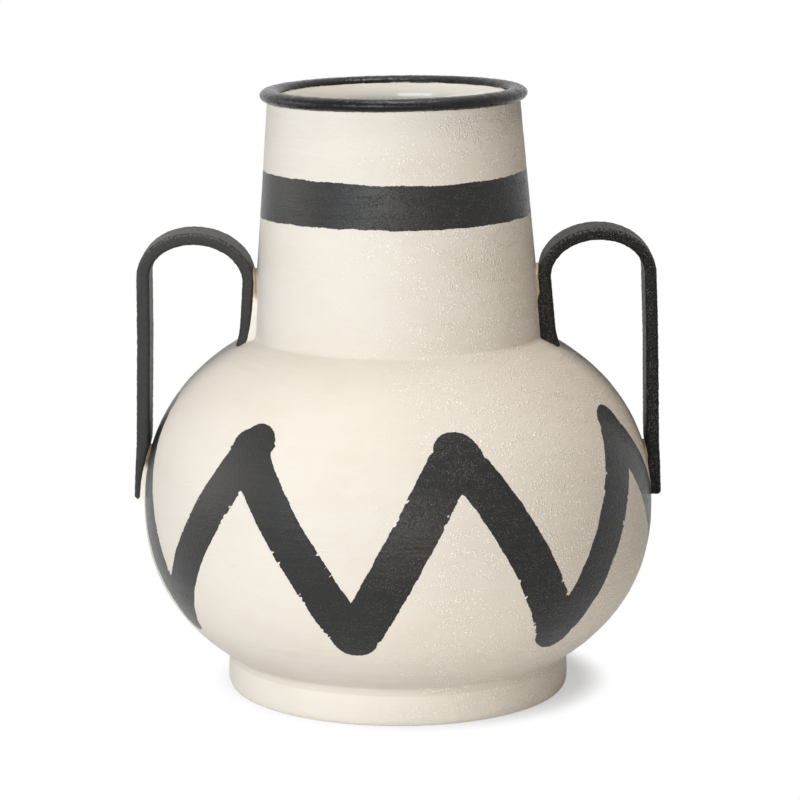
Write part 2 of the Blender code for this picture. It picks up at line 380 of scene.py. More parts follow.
def mesh_object(
    name: str, points: Array, faces: list[tuple[int, ...]], smooth: float = SHARP_ANGLE,
) -> bpy.types.Object:
    """A smooth-shaded object from points and faces.

    Args:
        name: Name of the piece.
        points: Rows of x, y and z.
        faces: Corner numbers of each face.
        smooth: Edges sharper than this, in degrees, stay sharp.

    Returns:
        The object, linked to the scene.
    """
    mesh = bpy.data.meshes.new(name)
    mesh.from_pydata(points.tolist(), [], faces)
    mesh.shade_smooth()
    mesh.set_sharp_from_angle(angle=math.radians(smooth))
    made = bpy.data.objects.new(name, mesh)
    bpy.context.scene.collection.objects.link(made)
    return made


def turned(
    name: str, outline: Outline, form: ThrownForm, marks: ThrowingMarks, segments: int = 640,
) -> bpy.types.Object:
    """Turns an outline on the axis, leans what is above the crease and adds the throwing marks.

    Args:
        name: Name of the piece.
        outline: The closed outline.
        form: Curves of the vase, for the neck's lean.
        marks: The unevenness of the clay.
        segments: Stretches round the axis.

    Returns:
        The turned object.
    """
    path, skin = outline.tidy()
    before, after = path - np.roll(path, 1, axis=0), np.roll(path, -1, axis=0) - path
    first, last = np.roll(skin, 1) == 0.0, np.roll(skin, -1) == 0.0
    run = np.where(first[:, None], after, np.where(last[:, None], before, before + after))
    run /= np.linalg.norm(run, axis=1)[:, None]
    angles = np.linspace(0.0, math.tau, segments, endpoint=False)
    cosines, sines = np.cos(angles), np.sin(angles)
    rows, points, total = [], [], 0
    for (radius, height), (run_r, run_z), share in zip(path, run, skin):
        count = segments if radius > ON_AXIS else 1
        ring = np.column_stack([radius * cosines, radius * sines, np.full(segments, height)])[:count]
        if share > 0.0:
            out = np.column_stack([run_z * cosines, run_z * sines, np.full(segments, -run_r)])
            ring = ring + out * (marks.offsets(ring) * share)[:, None]
        ring[:, 2] += form.tilt_at(ring[:, 2]) * ring[:, 0] / form.neck_top
        ring[:, 0] += form.lean_at(ring[:, 2])
        rows.append([total + index % count for index in range(segments)])
        points.append(ring)
        total += count
    faces = []
    for low, high in zip(rows, rows[1:] + rows[:1]):
        if low[0] == low[1] and high[0] == high[1]:
            continue
        for index in range(segments):
            beyond = (index + 1) % segments
            corners = (low[index], low[beyond], high[beyond], high[index])
            faces.append(tuple(dict.fromkeys(corners)))
    return mesh_object(name, np.concatenate(points), faces)


def lofted(name: str, rings: Sequence[Array], smooth: float = SHARP_ANGLE) -> bpy.types.Object:
    """Joins closed rings of equal length, one after another, and closes both ends.

    Args:
        name: Name of the piece.
        rings: Rows of x, y and z for each ring, counterclockwise seen against the way they run.
        smooth: Edges sharper than this, in degrees, stay sharp.

    Returns:
        The lofted object.
    """
    count = len(rings[0])
    faces: list[tuple[int, ...]] = []
    for ring in range(len(rings) - 1):
        low, high = ring * count, (ring + 1) * count
        for index in range(count):
            beyond = (index + 1) % count
            faces.append((low + index, low + beyond, high + beyond, high + index))
    faces.append(tuple(reversed(range(count))))
    faces.append(tuple(range((len(rings) - 1) * count, len(rings) * count)))
    return mesh_object(name, np.concatenate(rings), faces, smooth)


def mesh_points(piece: bpy.types.Object) -> Array:
    """The piece's vertices as rows of x, y and z.

    Args:
        piece: The piece.

    Returns:
        One row for each vertex.
    """
    flat = np.empty(len(piece.data.vertices) * 3)
    piece.data.vertices.foreach_get("co", flat)
    return flat.reshape(-1, 3)


def store_layer(piece: bpy.types.Object, name: str, values: Array) -> None:
    """Stores a number or a vector for each vertex of a piece.

    Args:
        piece: The piece.
        name: Name of the layer.
        values: One number, or one row of three, for each vertex.
    """
    kind, item = ("FLOAT_VECTOR", "vector") if values.ndim > 1 else ("FLOAT", "value")
    layer = piece.data.attributes.new(name, kind, "POINT")
    layer.data.foreach_set(item, values.astype(np.float32).ravel())


def seat(piece: bpy.types.Object, finish: bpy.types.Material, slot: Slot, *nodes: str) -> None:
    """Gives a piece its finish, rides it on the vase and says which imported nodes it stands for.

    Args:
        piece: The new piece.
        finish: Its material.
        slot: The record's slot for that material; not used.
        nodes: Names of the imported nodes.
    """
    piece.data.materials.append(finish)
    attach(piece, BODY)
    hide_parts(*nodes)
    LOG.info("%s: %d faces for %s", piece.name, len(piece.data.polygons), ", ".join(nodes))


# Brushed decoration


@dataclass(frozen=True)
class BrushedPattern:
    """A zigzag of broad strokes round the belly and a broad ring round the neck."""

    form: ThrownForm
    peaks: int = 7
    half_width: float = 0.0165
    low: float = 0.078
    high: float = 0.218
    turn: float = math.radians(-101)
    ring_height: float = 0.3905
    ring_half: float = 0.0170
    ring_sway: float = 1.1 * MM
    ring_ripple: float = 0.7 * MM
    ring_phases: Triple = (0.8, 2.0, 1.1)
    end_drift: float = 0.004
    width_drift: float = 0.06
    bend: float = 0.020
    bend_phase: float = 6.0
    seed: int = 5

    def arc(self, heights: Array) -> Array:
        """Length along the belly's outside from the foot to each height.

        Args:
            heights: Heights over the table.

        Returns:
            One length for each height.
        """
        above = self.form.belly_curve(self.form.widest_height, self.form.crease)
        below = self.form.belly_curve(self.form.foot_recess, self.form.widest_height)
        path = np.asarray(below + above[1:])
        return np.interp(heights, path[:, 1], lengths_along(path))

    def belly_strokes(self, points: Array) -> Array:
        """Position of each point of the belly on the zigzag's strokes.

        Args:
            points: Rows of x, y and z on the belly.

        Returns:
            Rows of offset across the stroke, length along it, and distance in from its edge.
        """
        draw = np.random.default_rng(self.seed)
        angles = np.arctan2(points[:, 1], points[:, 0]) - self.turn
        radii, runs = np.hypot(points[:, 0], points[:, 1]), self.arc(points[:, 2])
        low, high = self.arc(np.array([self.low, self.high]))
        best = np.full((len(points), 3), (0.0, 0.0, -1.0))
        half_turn = math.pi / self.peaks
        for leg in range(2 * self.peaks):
            ends = (low, high) if leg % 2 == 0 else (high, low)
            ends = [end + draw.uniform(-self.end_drift, self.end_drift) for end in ends]
            width = self.half_width * draw.uniform(1 - self.width_drift, 1 + self.width_drift)
            middle = (leg + 0.5) * half_turn
            away = (angles - middle + math.pi) % math.tau - math.pi
            share = np.clip((runs - ends[0]) / (ends[1] - ends[0]), 0.0, 1.0)
            sway = self.bend * np.sin(math.pi * share + draw.uniform(0.0, self.bend_phase))
            centre = (share - 0.5) * half_turn + sway
            aside = (away - centre) * radii
            past = runs - (ends[0] + share * (ends[1] - ends[0]))
            slope = np.cos(np.arctan2(half_turn * radii, abs(ends[1] - ends[0])))
            distance = np.hypot(aside * np.where(past == 0.0, slope, 1.0), past)
            inside = width - distance
            closer = inside > best[:, 2]
            stroke = np.column_stack([aside * slope, runs + leg, inside])
            best[closer] = stroke[closer]
        return best

    def neck_ring(self, points: Array) -> Array:
        """Position of each point of the neck on the ring, as for the belly's strokes.

        Args:
            points: Rows of x, y and z on the neck.

        Returns:
            Rows of offset across the stroke, length along it, and distance in from its edge.
        """
        angles = np.arctan2(points[:, 1], points[:, 0])
        slow, quick, broad = self.ring_phases
        sway = self.ring_sway * np.sin(angles + slow) + self.ring_ripple * np.sin(3 * angles + quick)
        aside = points[:, 2] - (self.ring_height + sway)
        half = self.ring_half + self.ring_ripple * np.sin(2 * angles + broad)
        along = angles * np.hypot(points[:, 0], points[:, 1])
        return np.column_stack([aside, along, half - np.abs(aside)])


def paint_strokes(piece: bpy.types.Object, strokes: Callable[[Array], Array]) -> None:
    """Stores where each vertex lies on the brushed strokes.

    Args:
        piece: The piece to paint.
        strokes: Gives offset across, length along and distance in from the edge for rows of points.
    """
    store_layer(piece, STROKE_LAYER, strokes(mesh_points(piece)))


# Shader graphs


@dataclass(frozen=True)
class Ramp:
    """A smooth step: two limits of a value, and what it becomes at each."""

    low: float
    high: float
    start: float = 0.0
    end: float = 1.0


class Graph:
    """Adds nodes to a shader tree and links them."""

    def __init__(self, tree: bpy.types.NodeTree) -> None:
        """Starts on a tree."""
        self.tree = tree

    def node(self, kind: str, **settings: object) -> bpy.types.Node:
        """A new node with its settings.

        Args:
            kind: The node's type.
            settings: Values of the node's own settings.

        Returns:
            The node.
        """
        made = self.tree.nodes.new(kind)
        for name, value in settings.items():
            setattr(made, name, value)
        return made

    def feed(self, target: Socket, value: Value) -> None:
        """Links a socket to an input, or sets the input to a plain value.

        Args:
            target: The input.
            value: A socket or a plain value.
        """
        if isinstance(value, bpy.types.NodeSocket):
            self.tree.links.new(value, target)
        else:
            target.default_value = value

    def math(self, operation: str, *values: Value) -> Socket:
        """A math node on up to three values.

        Args:
            operation: What the node works out.
            values: Sockets or plain numbers.

        Returns:
            The result.
        """
        made = self.node("ShaderNodeMath", operation=operation)
        for target, value in zip(made.inputs, values):
            self.feed(target, value)
        return made.outputs[0]

    def product(self, first: Value, *others: Value) -> Value:
        """All the values multiplied together.

        Args:
            first: A socket or a plain number.
            others: What it is multiplied by.

        Returns:
            The product.
        """
        for other in others:
            first = self.math("MULTIPLY", first, other)
        return first

    def axis(self, vector: Socket, letter: str) -> Socket:
        """One part of a vector: X, Y or Z.

        Args:
            vector: The vector.
            letter: Name of the axis.

        Returns:
            That part of it.
        """
        made = self.node("ShaderNodeSeparateXYZ")
        self.feed(made.inputs[0], vector)
        return made.outputs[letter]

    def vector_math(self, operation: str, vector: Socket, by: Triple) -> Socket:
        """A vector worked on by fixed amounts along each axis.

        Args:
            operation: ADD to move it, MULTIPLY to stretch it.
            vector: The vector.
            by: The amount along each axis.

        Returns:
            The new vector.
        """
        made = self.node("ShaderNodeVectorMath", operation=operation)
        self.feed(made.inputs[0], vector)
        self.feed(made.inputs[1], by)
        return made.outputs["Vector"]

    def noise(self, vector: Socket, scale: Value, detail: float = 2.0, rough: float = 0.5) -> Socket:
        """A noise texture's value, from 0 to 1.

        Args:
            vector: Where on the surface, as a vector.
            scale: Bumps to the metre.
            detail: Layers of finer bumps.
            rough: Strength of each finer layer.

        Returns:
            The noise.
        """
        made = self.node("ShaderNodeTexNoise")
        for name, value in (("Vector", vector), ("Scale", scale), ("Detail", detail), ("Roughness", rough)):
            self.feed(made.inputs[name], value)
        return made.outputs["Fac"]

    def stretched_noise(self, vector: Socket, scale: Triple, detail: float, rough: float) -> Socket:
        """A noise texture's value, with its own number of bumps to the metre along each axis."""
        return self.noise(self.vector_math("MULTIPLY", vector, scale), 1.0, detail, rough)

    def cells(self, vector: Socket, scale: Value) -> Socket:
        """Distance to the nearest point of a random scatter, in units of its cells.

        Args:
            vector: Where on the surface, as a vector.
            scale: Cells to the metre.

        Returns:
            The distance.
        """
        made = self.node("ShaderNodeTexVoronoi", feature="F1")
        self.feed(made.inputs["Vector"], vector)
        self.feed(made.inputs["Scale"], scale)
        return made.outputs["Distance"]

    def ease(self, value: Socket, ramp: Ramp) -> Socket:
        """A value taken smoothly along a ramp.

        Args:
            value: The value.
            ramp: Its limits and what it becomes.

        Returns:
            The eased value.
        """
        made = self.node("ShaderNodeMapRange", interpolation_type="SMOOTHSTEP")
        for target, fed in zip(made.inputs, (value, ramp.low, ramp.high, ramp.start, ramp.end)):
            self.feed(target, fed)
        return made.outputs[0]

    def mix(self, share: Value, first: Value, second: Value) -> Socket:
        """A mix of two colours.

        Args:
            share: Share of the second colour.
            first: A colour or a socket.
            second: A colour or a socket.

        Returns:
            The mixed colour.
        """
        made = self.node("ShaderNodeMix", data_type="RGBA")
        for name, value in (("Factor_Float", share), ("A_Color", first), ("B_Color", second)):
            target = next(item for item in made.inputs if item.identifier == name)
            plain = isinstance(value, tuple) and len(value) == 3
            self.feed(target, (*value, 1.0) if plain else value)
        return next(item for item in made.outputs if item.identifier == "Result_Color")

    def place(self, group: bpy.types.NodeTree, **values: Value) -> bpy.types.Node:
        """A group node, with its inputs fed by name.

        Args:
            group: The group.
            values: A socket or a plain value for each input.

        Returns:
            The group node.
        """
        made = self.node("ShaderNodeGroup", node_tree=group)
        for name, value in values.items():
            self.feed(made.inputs[name.replace("_", " ").title()], value)
        return made


def group(
    name: str, inputs: dict[str, str], outputs: dict[str, str],
) -> tuple[Graph, bpy.types.Node, bpy.types.Node]:
    """A new shader node group.

    Args:
        name: Name of the group.
        inputs: Kind of each input socket by name.
        outputs: Kind of each output socket by name.

    Returns:
        The group's graph, its input node and its output node.
    """
    tree = bpy.data.node_groups.new(name, "ShaderNodeTree")
    for label, kind in inputs.items():
        tree.interface.new_socket(label, in_out="INPUT", socket_type=f"NodeSocket{kind}")
    for label, kind in outputs.items():
        tree.interface.new_socket(label, in_out="OUTPUT", socket_type=f"NodeSocket{kind}")
    graph = Graph(tree)
    return graph, graph.node("NodeGroupInput"), graph.node("NodeGroupOutput")


class Effects:
    """Effects that several finishes share, each built once."""

    PATCH_SCALE: Triple = (15.0, 15.0, 26.0)
    PATCHES = Ramp(0.34, 0.54, 0.38, 1.0)
    ROW_SCALE: Triple = (55.0, 55.0, 230.0)
    ROWS = Ramp(0.36, 0.56, 0.26, 1.0)
    SIDEWAYS = Ramp(-0.07, 0.15, 0.12, 1.0)
    UPWARD = Ramp(0.24, 0.34, 0.85, 1.30)
    COARSE_GRAIN = Ramp(0.40, 0.10)
    MIDDLE_GRAIN = Ramp(0.40, 0.10, 0.0, 0.85)
    MIDDLE_SCALE = 1.2
    MIDDLE_SHIFT: Triple = (0.31, 0.17, 0.23)
    FINE_GRAIN = Ramp(0.42, 0.12, 0.0, 0.60)
    FINE_SCALE = 1.8
    TIP_GRAIN = Ramp(0.38, 0.16)
    TIP_SCALE = 1.7
    TIP_SIDEWAYS = Ramp(-0.12, 0.05, 0.12, 1.0)

    FINE_LINE_SCALE: Triple = (30.0, 30.0, 620.0)
    BROAD_LINE_SCALE: Triple = (12.0, 12.0, 210.0)

    CLOUD_SCALE: Triple = (16.0, 16.0, 34.0)
    CLOUDS = Ramp(0.35, 0.75, 0.0, 0.55)

    WANDER_SCALE = 70.0
    WANDER = 2.6 * MM
    NIBBLE_SCALE = 520.0
    NIBBLE = 1.3 * MM
    STREAK_SCALE: Triple = (900.0, 26.0, 0.0)
    STREAKS = Ramp(0.46, 0.72)
    STREAK_DEPTH = 2.2 * MM
    DRY_SCALE = 22.0
    DRY = Ramp(0.67, 0.79)
    FIRM_EDGE = Ramp(-0.15 * MM, 0.15 * MM)
    STROKE_RIM = Ramp(2.2 * MM, 0.2 * MM)

    DRIFT_SCALE = 26.0
    DRIFT = 0.12
    SIDE_SHADING = Ramp(-0.10, 0.24)
    # Black on the lit -X side and on the shaded +X side: painted light and shade.
    LIT_SIDE_BLACK: Colour = (0.0460, 0.0456, 0.0454)
    SHADED_SIDE_BLACK: Colour = (0.0165, 0.0163, 0.0162)
    # Pale specks in the black: sand showing through, and painted glints on the grain tips.
    SPECK_SCALE = 760.0
    SPECKS = Ramp(0.70, 0.80, 0.0, 0.35)
    TIP_SPECK_SHARE = 0.64
    BARE_SAND_AND_GLINT: Colour = (0.22, 0.215, 0.21)

    def __init__(self) -> None:
        """Builds the groups."""
        self.sand = self.sand_grain()
        self.lines = self.brush_lines()
        self.mottle = self.slip_mottle()
        self.edge = self.brush_edge()
        self.black = self.black_coat()

    def sand_grain(self) -> bpy.types.NodeTree:
        """Grains of sand under a coat of slip, crowded in places, thickest high up and on the +X side.

        Returns:
            The group, which gives the grains' height and where their tips break through; the tips also place
            the painted glints on the black.
        """
        graph, start, end = group(
            "sand_grain", {"Vector": "Vector", "Size": "Float"}, {"Height": "Float", "Tips": "Float"},
        )
        vector = start.outputs["Vector"]
        scale = graph.math("DIVIDE", 1.0, start.outputs["Size"])
        across, height = graph.axis(vector, "X"), graph.axis(vector, "Z")
        patches = graph.ease(graph.stretched_noise(vector, self.PATCH_SCALE, 2.0, 0.6), self.PATCHES)
        rows = graph.ease(graph.stretched_noise(vector, self.ROW_SCALE, 1.0, 0.5), self.ROWS)
        sideways, upward = graph.ease(across, self.SIDEWAYS), graph.ease(height, self.UPWARD)
        coarse = graph.ease(graph.cells(vector, scale), self.COARSE_GRAIN)
        beside = graph.vector_math("ADD", vector, self.MIDDLE_SHIFT)
        middle = graph.ease(graph.cells(beside, graph.product(scale, self.MIDDLE_SCALE)), self.MIDDLE_GRAIN)
        fine = graph.ease(graph.cells(vector, graph.product(scale, self.FINE_SCALE)), self.FINE_GRAIN)
        grains = graph.math("MAXIMUM", graph.math("MAXIMUM", coarse, middle), fine)
        graph.feed(end.inputs["Height"], graph.product(patches, rows, sideways, upward, grains))
        tips = graph.ease(graph.cells(vector, graph.product(scale, self.TIP_SCALE)), self.TIP_GRAIN)
        graph.feed(end.inputs["Tips"], graph.product(rows, graph.ease(across, self.TIP_SIDEWAYS), tips))
        return graph.tree

    def brush_lines(self) -> bpy.types.NodeTree:
        """Fine level lines that the slip brush leaves while the vase turns.

        Returns:
            The group, which gives the lines' height.
        """
        graph, start, end = group("brush_lines", {"Vector": "Vector"}, {"Height": "Float"})
        fine = graph.stretched_noise(start.outputs["Vector"], self.FINE_LINE_SCALE, 2.0, 0.6)
        broad = graph.stretched_noise(start.outputs["Vector"], self.BROAD_LINE_SCALE, 1.0, 0.5)
        graph.feed(end.inputs["Height"], graph.math("ADD", fine, broad))
        return graph.tree

    def slip_mottle(self) -> bpy.types.NodeTree:
        """Slow changes of colour where the slip lies thin or thick.

        Returns:
            The group, which gives the colour.
        """
        graph, start, end = group(
            "slip_mottle", {"Vector": "Vector", "Colour": "Color", "Thin": "Color"}, {"Colour": "Color"},
        )
        clouds = graph.stretched_noise(start.outputs["Vector"], self.CLOUD_SCALE, 3.0, 0.6)
        colour = graph.mix(graph.ease(clouds, self.CLOUDS), start.outputs["Colour"], start.outputs["Thin"])
        graph.feed(end.inputs["Colour"], colour)
        return graph.tree

    def brush_edge(self) -> bpy.types.NodeTree:
        """Mask of a brushed stroke: a firm edge that the grain breaks, with dry streaks here and there.

        Returns:
            The group, which gives the mask and the thick rim of the stroke.
        """
        graph, start, end = group(
            "brush_edge", {"Vector": "Vector", "Stroke": "Vector"}, {"Mask": "Float", "Rim": "Float"},
        )
        vector, stroke = start.outputs["Vector"], start.outputs["Stroke"]
        wander = graph.noise(vector, self.WANDER_SCALE, 2.0, 0.5)
        wander = graph.math("MULTIPLY_ADD", wander, self.WANDER, -self.WANDER / 2)
        nibble = graph.noise(vector, self.NIBBLE_SCALE, 1.0, 0.5)
        nibble = graph.math("MULTIPLY_ADD", nibble, self.NIBBLE, -self.NIBBLE / 2)
        streaks = graph.ease(graph.stretched_noise(stroke, self.STREAK_SCALE, 1.0, 0.5), self.STREAKS)
        dry = graph.ease(graph.noise(vector, self.DRY_SCALE, 1.0, 0.5), self.DRY)
        inside = graph.math("ADD", graph.math("ADD", graph.axis(stroke, "Z"), wander), nibble)
        depth = graph.math("SUBTRACT", inside, graph.product(streaks, dry, self.STREAK_DEPTH))
        graph.feed(end.inputs["Mask"], graph.ease(depth, self.FIRM_EDGE))
        graph.feed(end.inputs["Rim"], graph.ease(depth, self.STROKE_RIM))
        return graph.tree

    def black_coat(self) -> bpy.types.NodeTree:
        """Black slip with pale specks, partly sand breaking through and partly painted glints, and with
        painted light and shade: greyer towards the lit -X side and darker towards the shaded +X side.

        Returns:
            The group, which gives the colour.
        """
        graph, start, end = group("black_coat", {"Vector": "Vector", "Tips": "Float"}, {"Colour": "Color"})
        vector = start.outputs["Vector"]
        # Painted light and shade: the black is greyer towards -X, where the lamps fall, and darker towards
        # +X, with random patches.
        drift = graph.noise(vector, self.DRIFT_SCALE, 3.0, 0.6)
        drift = graph.math("MULTIPLY_ADD", drift, self.DRIFT, graph.axis(vector, "X"))
        coat = graph.mix(graph.ease(drift, self.SIDE_SHADING), self.LIT_SIDE_BLACK, self.SHADED_SIDE_BLACK)
        # Pale specks: sand breaking through the black, and painted glints on the grain tips.
        specks = graph.ease(graph.noise(vector, self.SPECK_SCALE, 1.0, 0.5), self.SPECKS)
        wear_and_highlight = graph.product(start.outputs["Tips"], self.TIP_SPECK_SHARE)
        sand_and_glints = graph.math("MAXIMUM", specks, wear_and_highlight)
        graph.feed(end.inputs["Colour"], graph.mix(sand_and_glints, coat, self.BARE_SAND_AND_GLINT))
        return graph.tree


class Finish:
    """A material on one Principled shader, built from the shared effects."""

    def __init__(self, name: str, effects: Effects) -> None:
        """Starts an empty finish with object coordinates.

        Args:
            name: Name of the material.
            effects: Shared effects.
        """
        self.effects = effects
        self.material = bpy.data.materials.new(name)
        self.material.use_nodes = True
        self.graph = Graph(self.material.node_tree)
        self.shader = self.material.node_tree.nodes["Principled BSDF"]
        self.vector = self.graph.node("ShaderNodeTexCoord").outputs["Object"]

    def layer(self, name: str, output: str = "Fac") -> Socket:
        """One of the mesh's own layers."""
        return self.graph.node("ShaderNodeAttribute", attribute_name=name).outputs[output]

    def sand(self, size: float) -> bpy.types.Node:
        """Sand with grains of a size."""
        return self.graph.place(self.effects.sand, vector=self.vector, size=size)

    def black(self, sand: bpy.types.Node) -> Socket:
        """Colour of black slip over that sand."""
        made = self.graph.place(self.effects.black, vector=self.vector, tips=sand.outputs["Tips"])
        return made.outputs["Colour"]

    def mottled(self, colour: Colour, thin: Colour) -> Socket:
        """A slip's colour, which nears a second one where it lies thin.

        Args:
            colour: Colour where the slip lies thick.
            thin: Colour where it lies thin.

        Returns:
            The colour.
        """
        made = self.graph.place(
            self.effects.mottle, vector=self.vector, colour=(*colour, 1.0), thin=(*thin, 1.0),
        )
        return made.outputs["Colour"]

    def relief(self, height: Socket) -> None:
        """Raises the surface by a height in millimetres.

        Args:
            height: The height at each place.
        """
        bump = self.graph.node("ShaderNodeBump")
        bump.inputs["Strength"].default_value = 1.0
        bump.inputs["Distance"].default_value = MM
        self.graph.feed(bump.inputs["Height"], height)
        self.graph.feed(self.shader.inputs["Normal"], bump.outputs["Normal"])

    def set(self, **values: Value) -> None:
        """Feeds the shader's inputs by name."""
        for name, value in values.items():
            self.graph.feed(self.shader.inputs[name.replace("_", " ").title().replace("Ior", "IOR")], value)


@dataclass(frozen=True)
class SandySlip:
    """Cream slip over sandy clay, with or without brushed black strokes on it.

    Heights of the relief are in millimetres. The shade darkens the black under a glossier coat. The pale tip
    colour is partly pale sand and partly painted highlight on the grains.
    """

    name: str = "sandy_slip"
    colour: Colour = (0.690, 0.643, 0.591)
    thin: Colour = (0.651, 0.593, 0.529)
    # Pale colour on the grain tips: partly pale sand, partly painted highlight on the grains.
    tip: Colour = (0.960, 0.918, 0.858)
    tips: Ramp = Ramp(0.06, 0.42)
    grain: float = 2.6 * MM
    grain_height: float = 0.90
    grain_rough: float = 0.10
    line_height: float = 0.22
    rough: float = 0.62
    black_rough: float = 0.33
    black_height: float = 0.06
    rim_height: float = 0.05
    tooth: float = 0.30
    tooth_scale: float = 470.0
    gloss: float = 0.26
    shade: float = 0.50

    def material(self, effects: Effects, brushed: bool) -> bpy.types.Material:
        """The finish as a material.

        Args:
            effects: Shared effects.
            brushed: True where the mesh carries brush strokes.

        Returns:
            The material.
        """
        finish = Finish(f"{self.name}_brushed" if brushed else self.name, effects)
        graph, vector = finish.graph, finish.vector
        sand = finish.sand(self.grain)
        grains = sand.outputs["Height"]
        lines = graph.place(effects.lines, vector=vector).outputs["Height"]
        height = graph.math("MULTIPLY_ADD", lines, self.line_height, graph.product(grains, self.grain_height))
        # Painted highlight: the grains' tips are mixed towards the pale tip colour, together with pale sand.
        colour = graph.mix(graph.ease(grains, self.tips), finish.mottled(self.colour, self.thin), self.tip)
        rough = graph.math("MULTIPLY_ADD", grains, self.grain_rough, self.rough)
        if brushed:
            stroke = finish.layer(STROKE_LAYER, "Vector")
            edge = graph.place(effects.edge, vector=vector, stroke=stroke)
            mask = edge.outputs["Mask"]
            colour = graph.mix(mask, colour, graph.mix(self.shade, finish.black(sand), PURE_BLACK))
            coat = graph.math("MULTIPLY_ADD", edge.outputs["Rim"], self.rim_height, self.black_height)
            tooth = graph.noise(vector, self.tooth_scale, 2.0, 0.6)
            coat = graph.math("MULTIPLY_ADD", tooth, self.tooth, coat)
            height = graph.math("ADD", height, graph.product(mask, coat))
            rough = graph.math("MULTIPLY_ADD", mask, self.black_rough - self.rough, rough)
        finish.set(
            base_color=colour, roughness=rough, metallic=0.0, ior=CLAY_IOR, specular_ior_level=self.gloss,
        )
        finish.relief(height)
        return finish.material


@dataclass(frozen=True)
class BlackSlip:
    """Black slip brushed on all over, as on the straps, with a pale painted highlight along the top edges of
    the arch, broken into specks like wear.
    """

    grain: float = 2.0 * MM
    grain_height: float = 0.70
    grain_rough: float = 0.12
    rough: float = 0.36
    gloss: float = 0.035
    wear_and_highlight: Colour = (0.170, 0.167, 0.162)
    highlight_break_scale: float = 620.0
    highlight_break: Ramp = Ramp(0.40, 0.66)

    def material(self, effects: Effects) -> bpy.types.Material:
        """The finish as a material.

        Args:
            effects: Shared effects.

        Returns:
            The material.
        """
        finish = Finish("black_slip_coat", effects)
        graph = finish.graph
        sand = finish.sand(self.grain)
        grains = sand.outputs["Height"]
        rough = graph.math("MULTIPLY_ADD", grains, self.grain_rough, self.rough)
        patchy = graph.ease(graph.noise(finish.vector, self.highlight_break_scale, 2.0), self.highlight_break)
        # Painted highlight along the strap's top edges, broken into specks like wear.
        colour = graph.mix(graph.product(finish.layer(EDGE_HIGHLIGHT_LAYER), patchy), finish.black(sand), self.wear_and_highlight)
        finish.set(
            base_color=colour, roughness=rough, metallic=0.0, ior=CLAY_IOR, specular_ior_level=self.gloss,
        )
        finish.relief(graph.product(grains, self.grain_height))
        return finish.material


@dataclass(frozen=True)
class LutingSlip:
    """Smooth cream slip wiped round a handle's ends, bare and tan where it was left in the crevice, with
    painted shade darkening the crevice's middle.
    """

    colour: Colour = (0.770, 0.722, 0.665)
    thin: Colour = (0.745, 0.680, 0.600)
    bare: Colour = (0.560, 0.470, 0.340)
    stain: Colour = (0.720, 0.630, 0.490)
    crevice_shadow: Colour = (0.260, 0.180, 0.100)
    stain_scale: float = 260.0
    baring: Ramp = Ramp(0.05, 0.40)
    crevice_shading: Ramp = Ramp(0.55, 0.85)
    rough: float = 0.60
    bare_rough: float = 0.2
    gloss: float = 0.035
    grain: float = 2.4 * MM
    grain_height: float = 0.06

    def material(self, effects: Effects) -> bpy.types.Material:
        """The finish as a material.

        Args:
            effects: Shared effects.

        Returns:
            The material.
        """
        finish = Finish("luting_slip", effects)
        graph = finish.graph
        sand = finish.sand(self.grain)
        tan = graph.mix(graph.noise(finish.vector, self.stain_scale, 2.0), self.bare, self.stain)
        bare = finish.layer(BARE_AND_SHADE_LAYER)
        colour = graph.mix(graph.ease(bare, self.baring), finish.mottled(self.colour, self.thin), tan)
        # Painted shade: the middle of the open crevice is darkened to deep brown.
        colour = graph.mix(graph.ease(bare, self.crevice_shading), colour, self.crevice_shadow)
        colour = graph.mix(finish.layer(PAINTED_LAYER), colour, finish.black(sand))
        rough = graph.math("MULTIPLY_ADD", bare, self.bare_rough, self.rough)
        finish.set(
            base_color=colour, roughness=rough, metallic=0.0, ior=CLAY_IOR, specular_ior_level=self.gloss,
        )
        finish.relief(graph.product(sand.outputs["Height"], self.grain_height))
        return finish.material


@dataclass(frozen=True)
class LinerGlaze:
    """Glossy cream glaze with a slight ripple."""

    colour: Colour = (0.920, 0.880, 0.815)
    thin: Colour = (0.880, 0.820, 0.730)
    rough: float = 0.020
    ior: float = 1.52
    ripple_scale: Triple = (40.0, 40.0, 90.0)
    ripple_rough: float = 0.03
    ripple_height: float = 0.05

    def material(self, effects: Effects) -> bpy.types.Material:
        """The finish as a material.

        Args:
            effects: Shared effects.

        Returns:
            The material.
        """
        finish = Finish("liner_gloss_glaze", effects)
        graph = finish.graph
        ripple = graph.stretched_noise(finish.vector, self.ripple_scale, 1.0, 0.4)
        rough = graph.math("MULTIPLY_ADD", ripple, self.ripple_rough, self.rough)
        colour = finish.mottled(self.colour, self.thin)
        finish.set(base_color=colour, roughness=rough, metallic=0.0, ior=self.ior)
        finish.relief(graph.product(ripple, self.ripple_height))
        return finish.material


@dataclass
class Finishes:
    """Every material of the vase."""

    effects: Effects = field(default_factory=Effects)

    def __post_init__(self) -> None:
        """Builds the materials."""
        body = SandySlip()
        rim = SandySlip(
            name="rim_slip", grain=2.0 * MM, grain_height=0.65, line_height=0.0,
            black_rough=0.16, gloss=0.24, shade=0.92,
        )
        foot = SandySlip(
            name="foot_slip", colour=(0.755, 0.705, 0.646), thin=(0.717, 0.659, 0.591),
            grain_height=0.70, line_height=0.10,
        )
        self.plain = body.material(self.effects, brushed=False)
        self.brushed = body.material(self.effects, brushed=True)
        self.rim = rim.material(self.effects, brushed=True)
        self.foot = foot.material(self.effects, brushed=False)
        self.black = BlackSlip().material(self.effects)
        self.luting = LutingSlip().material(self.effects)
        self.glaze = LinerGlaze().material(self.effects)


# Thrown pieces


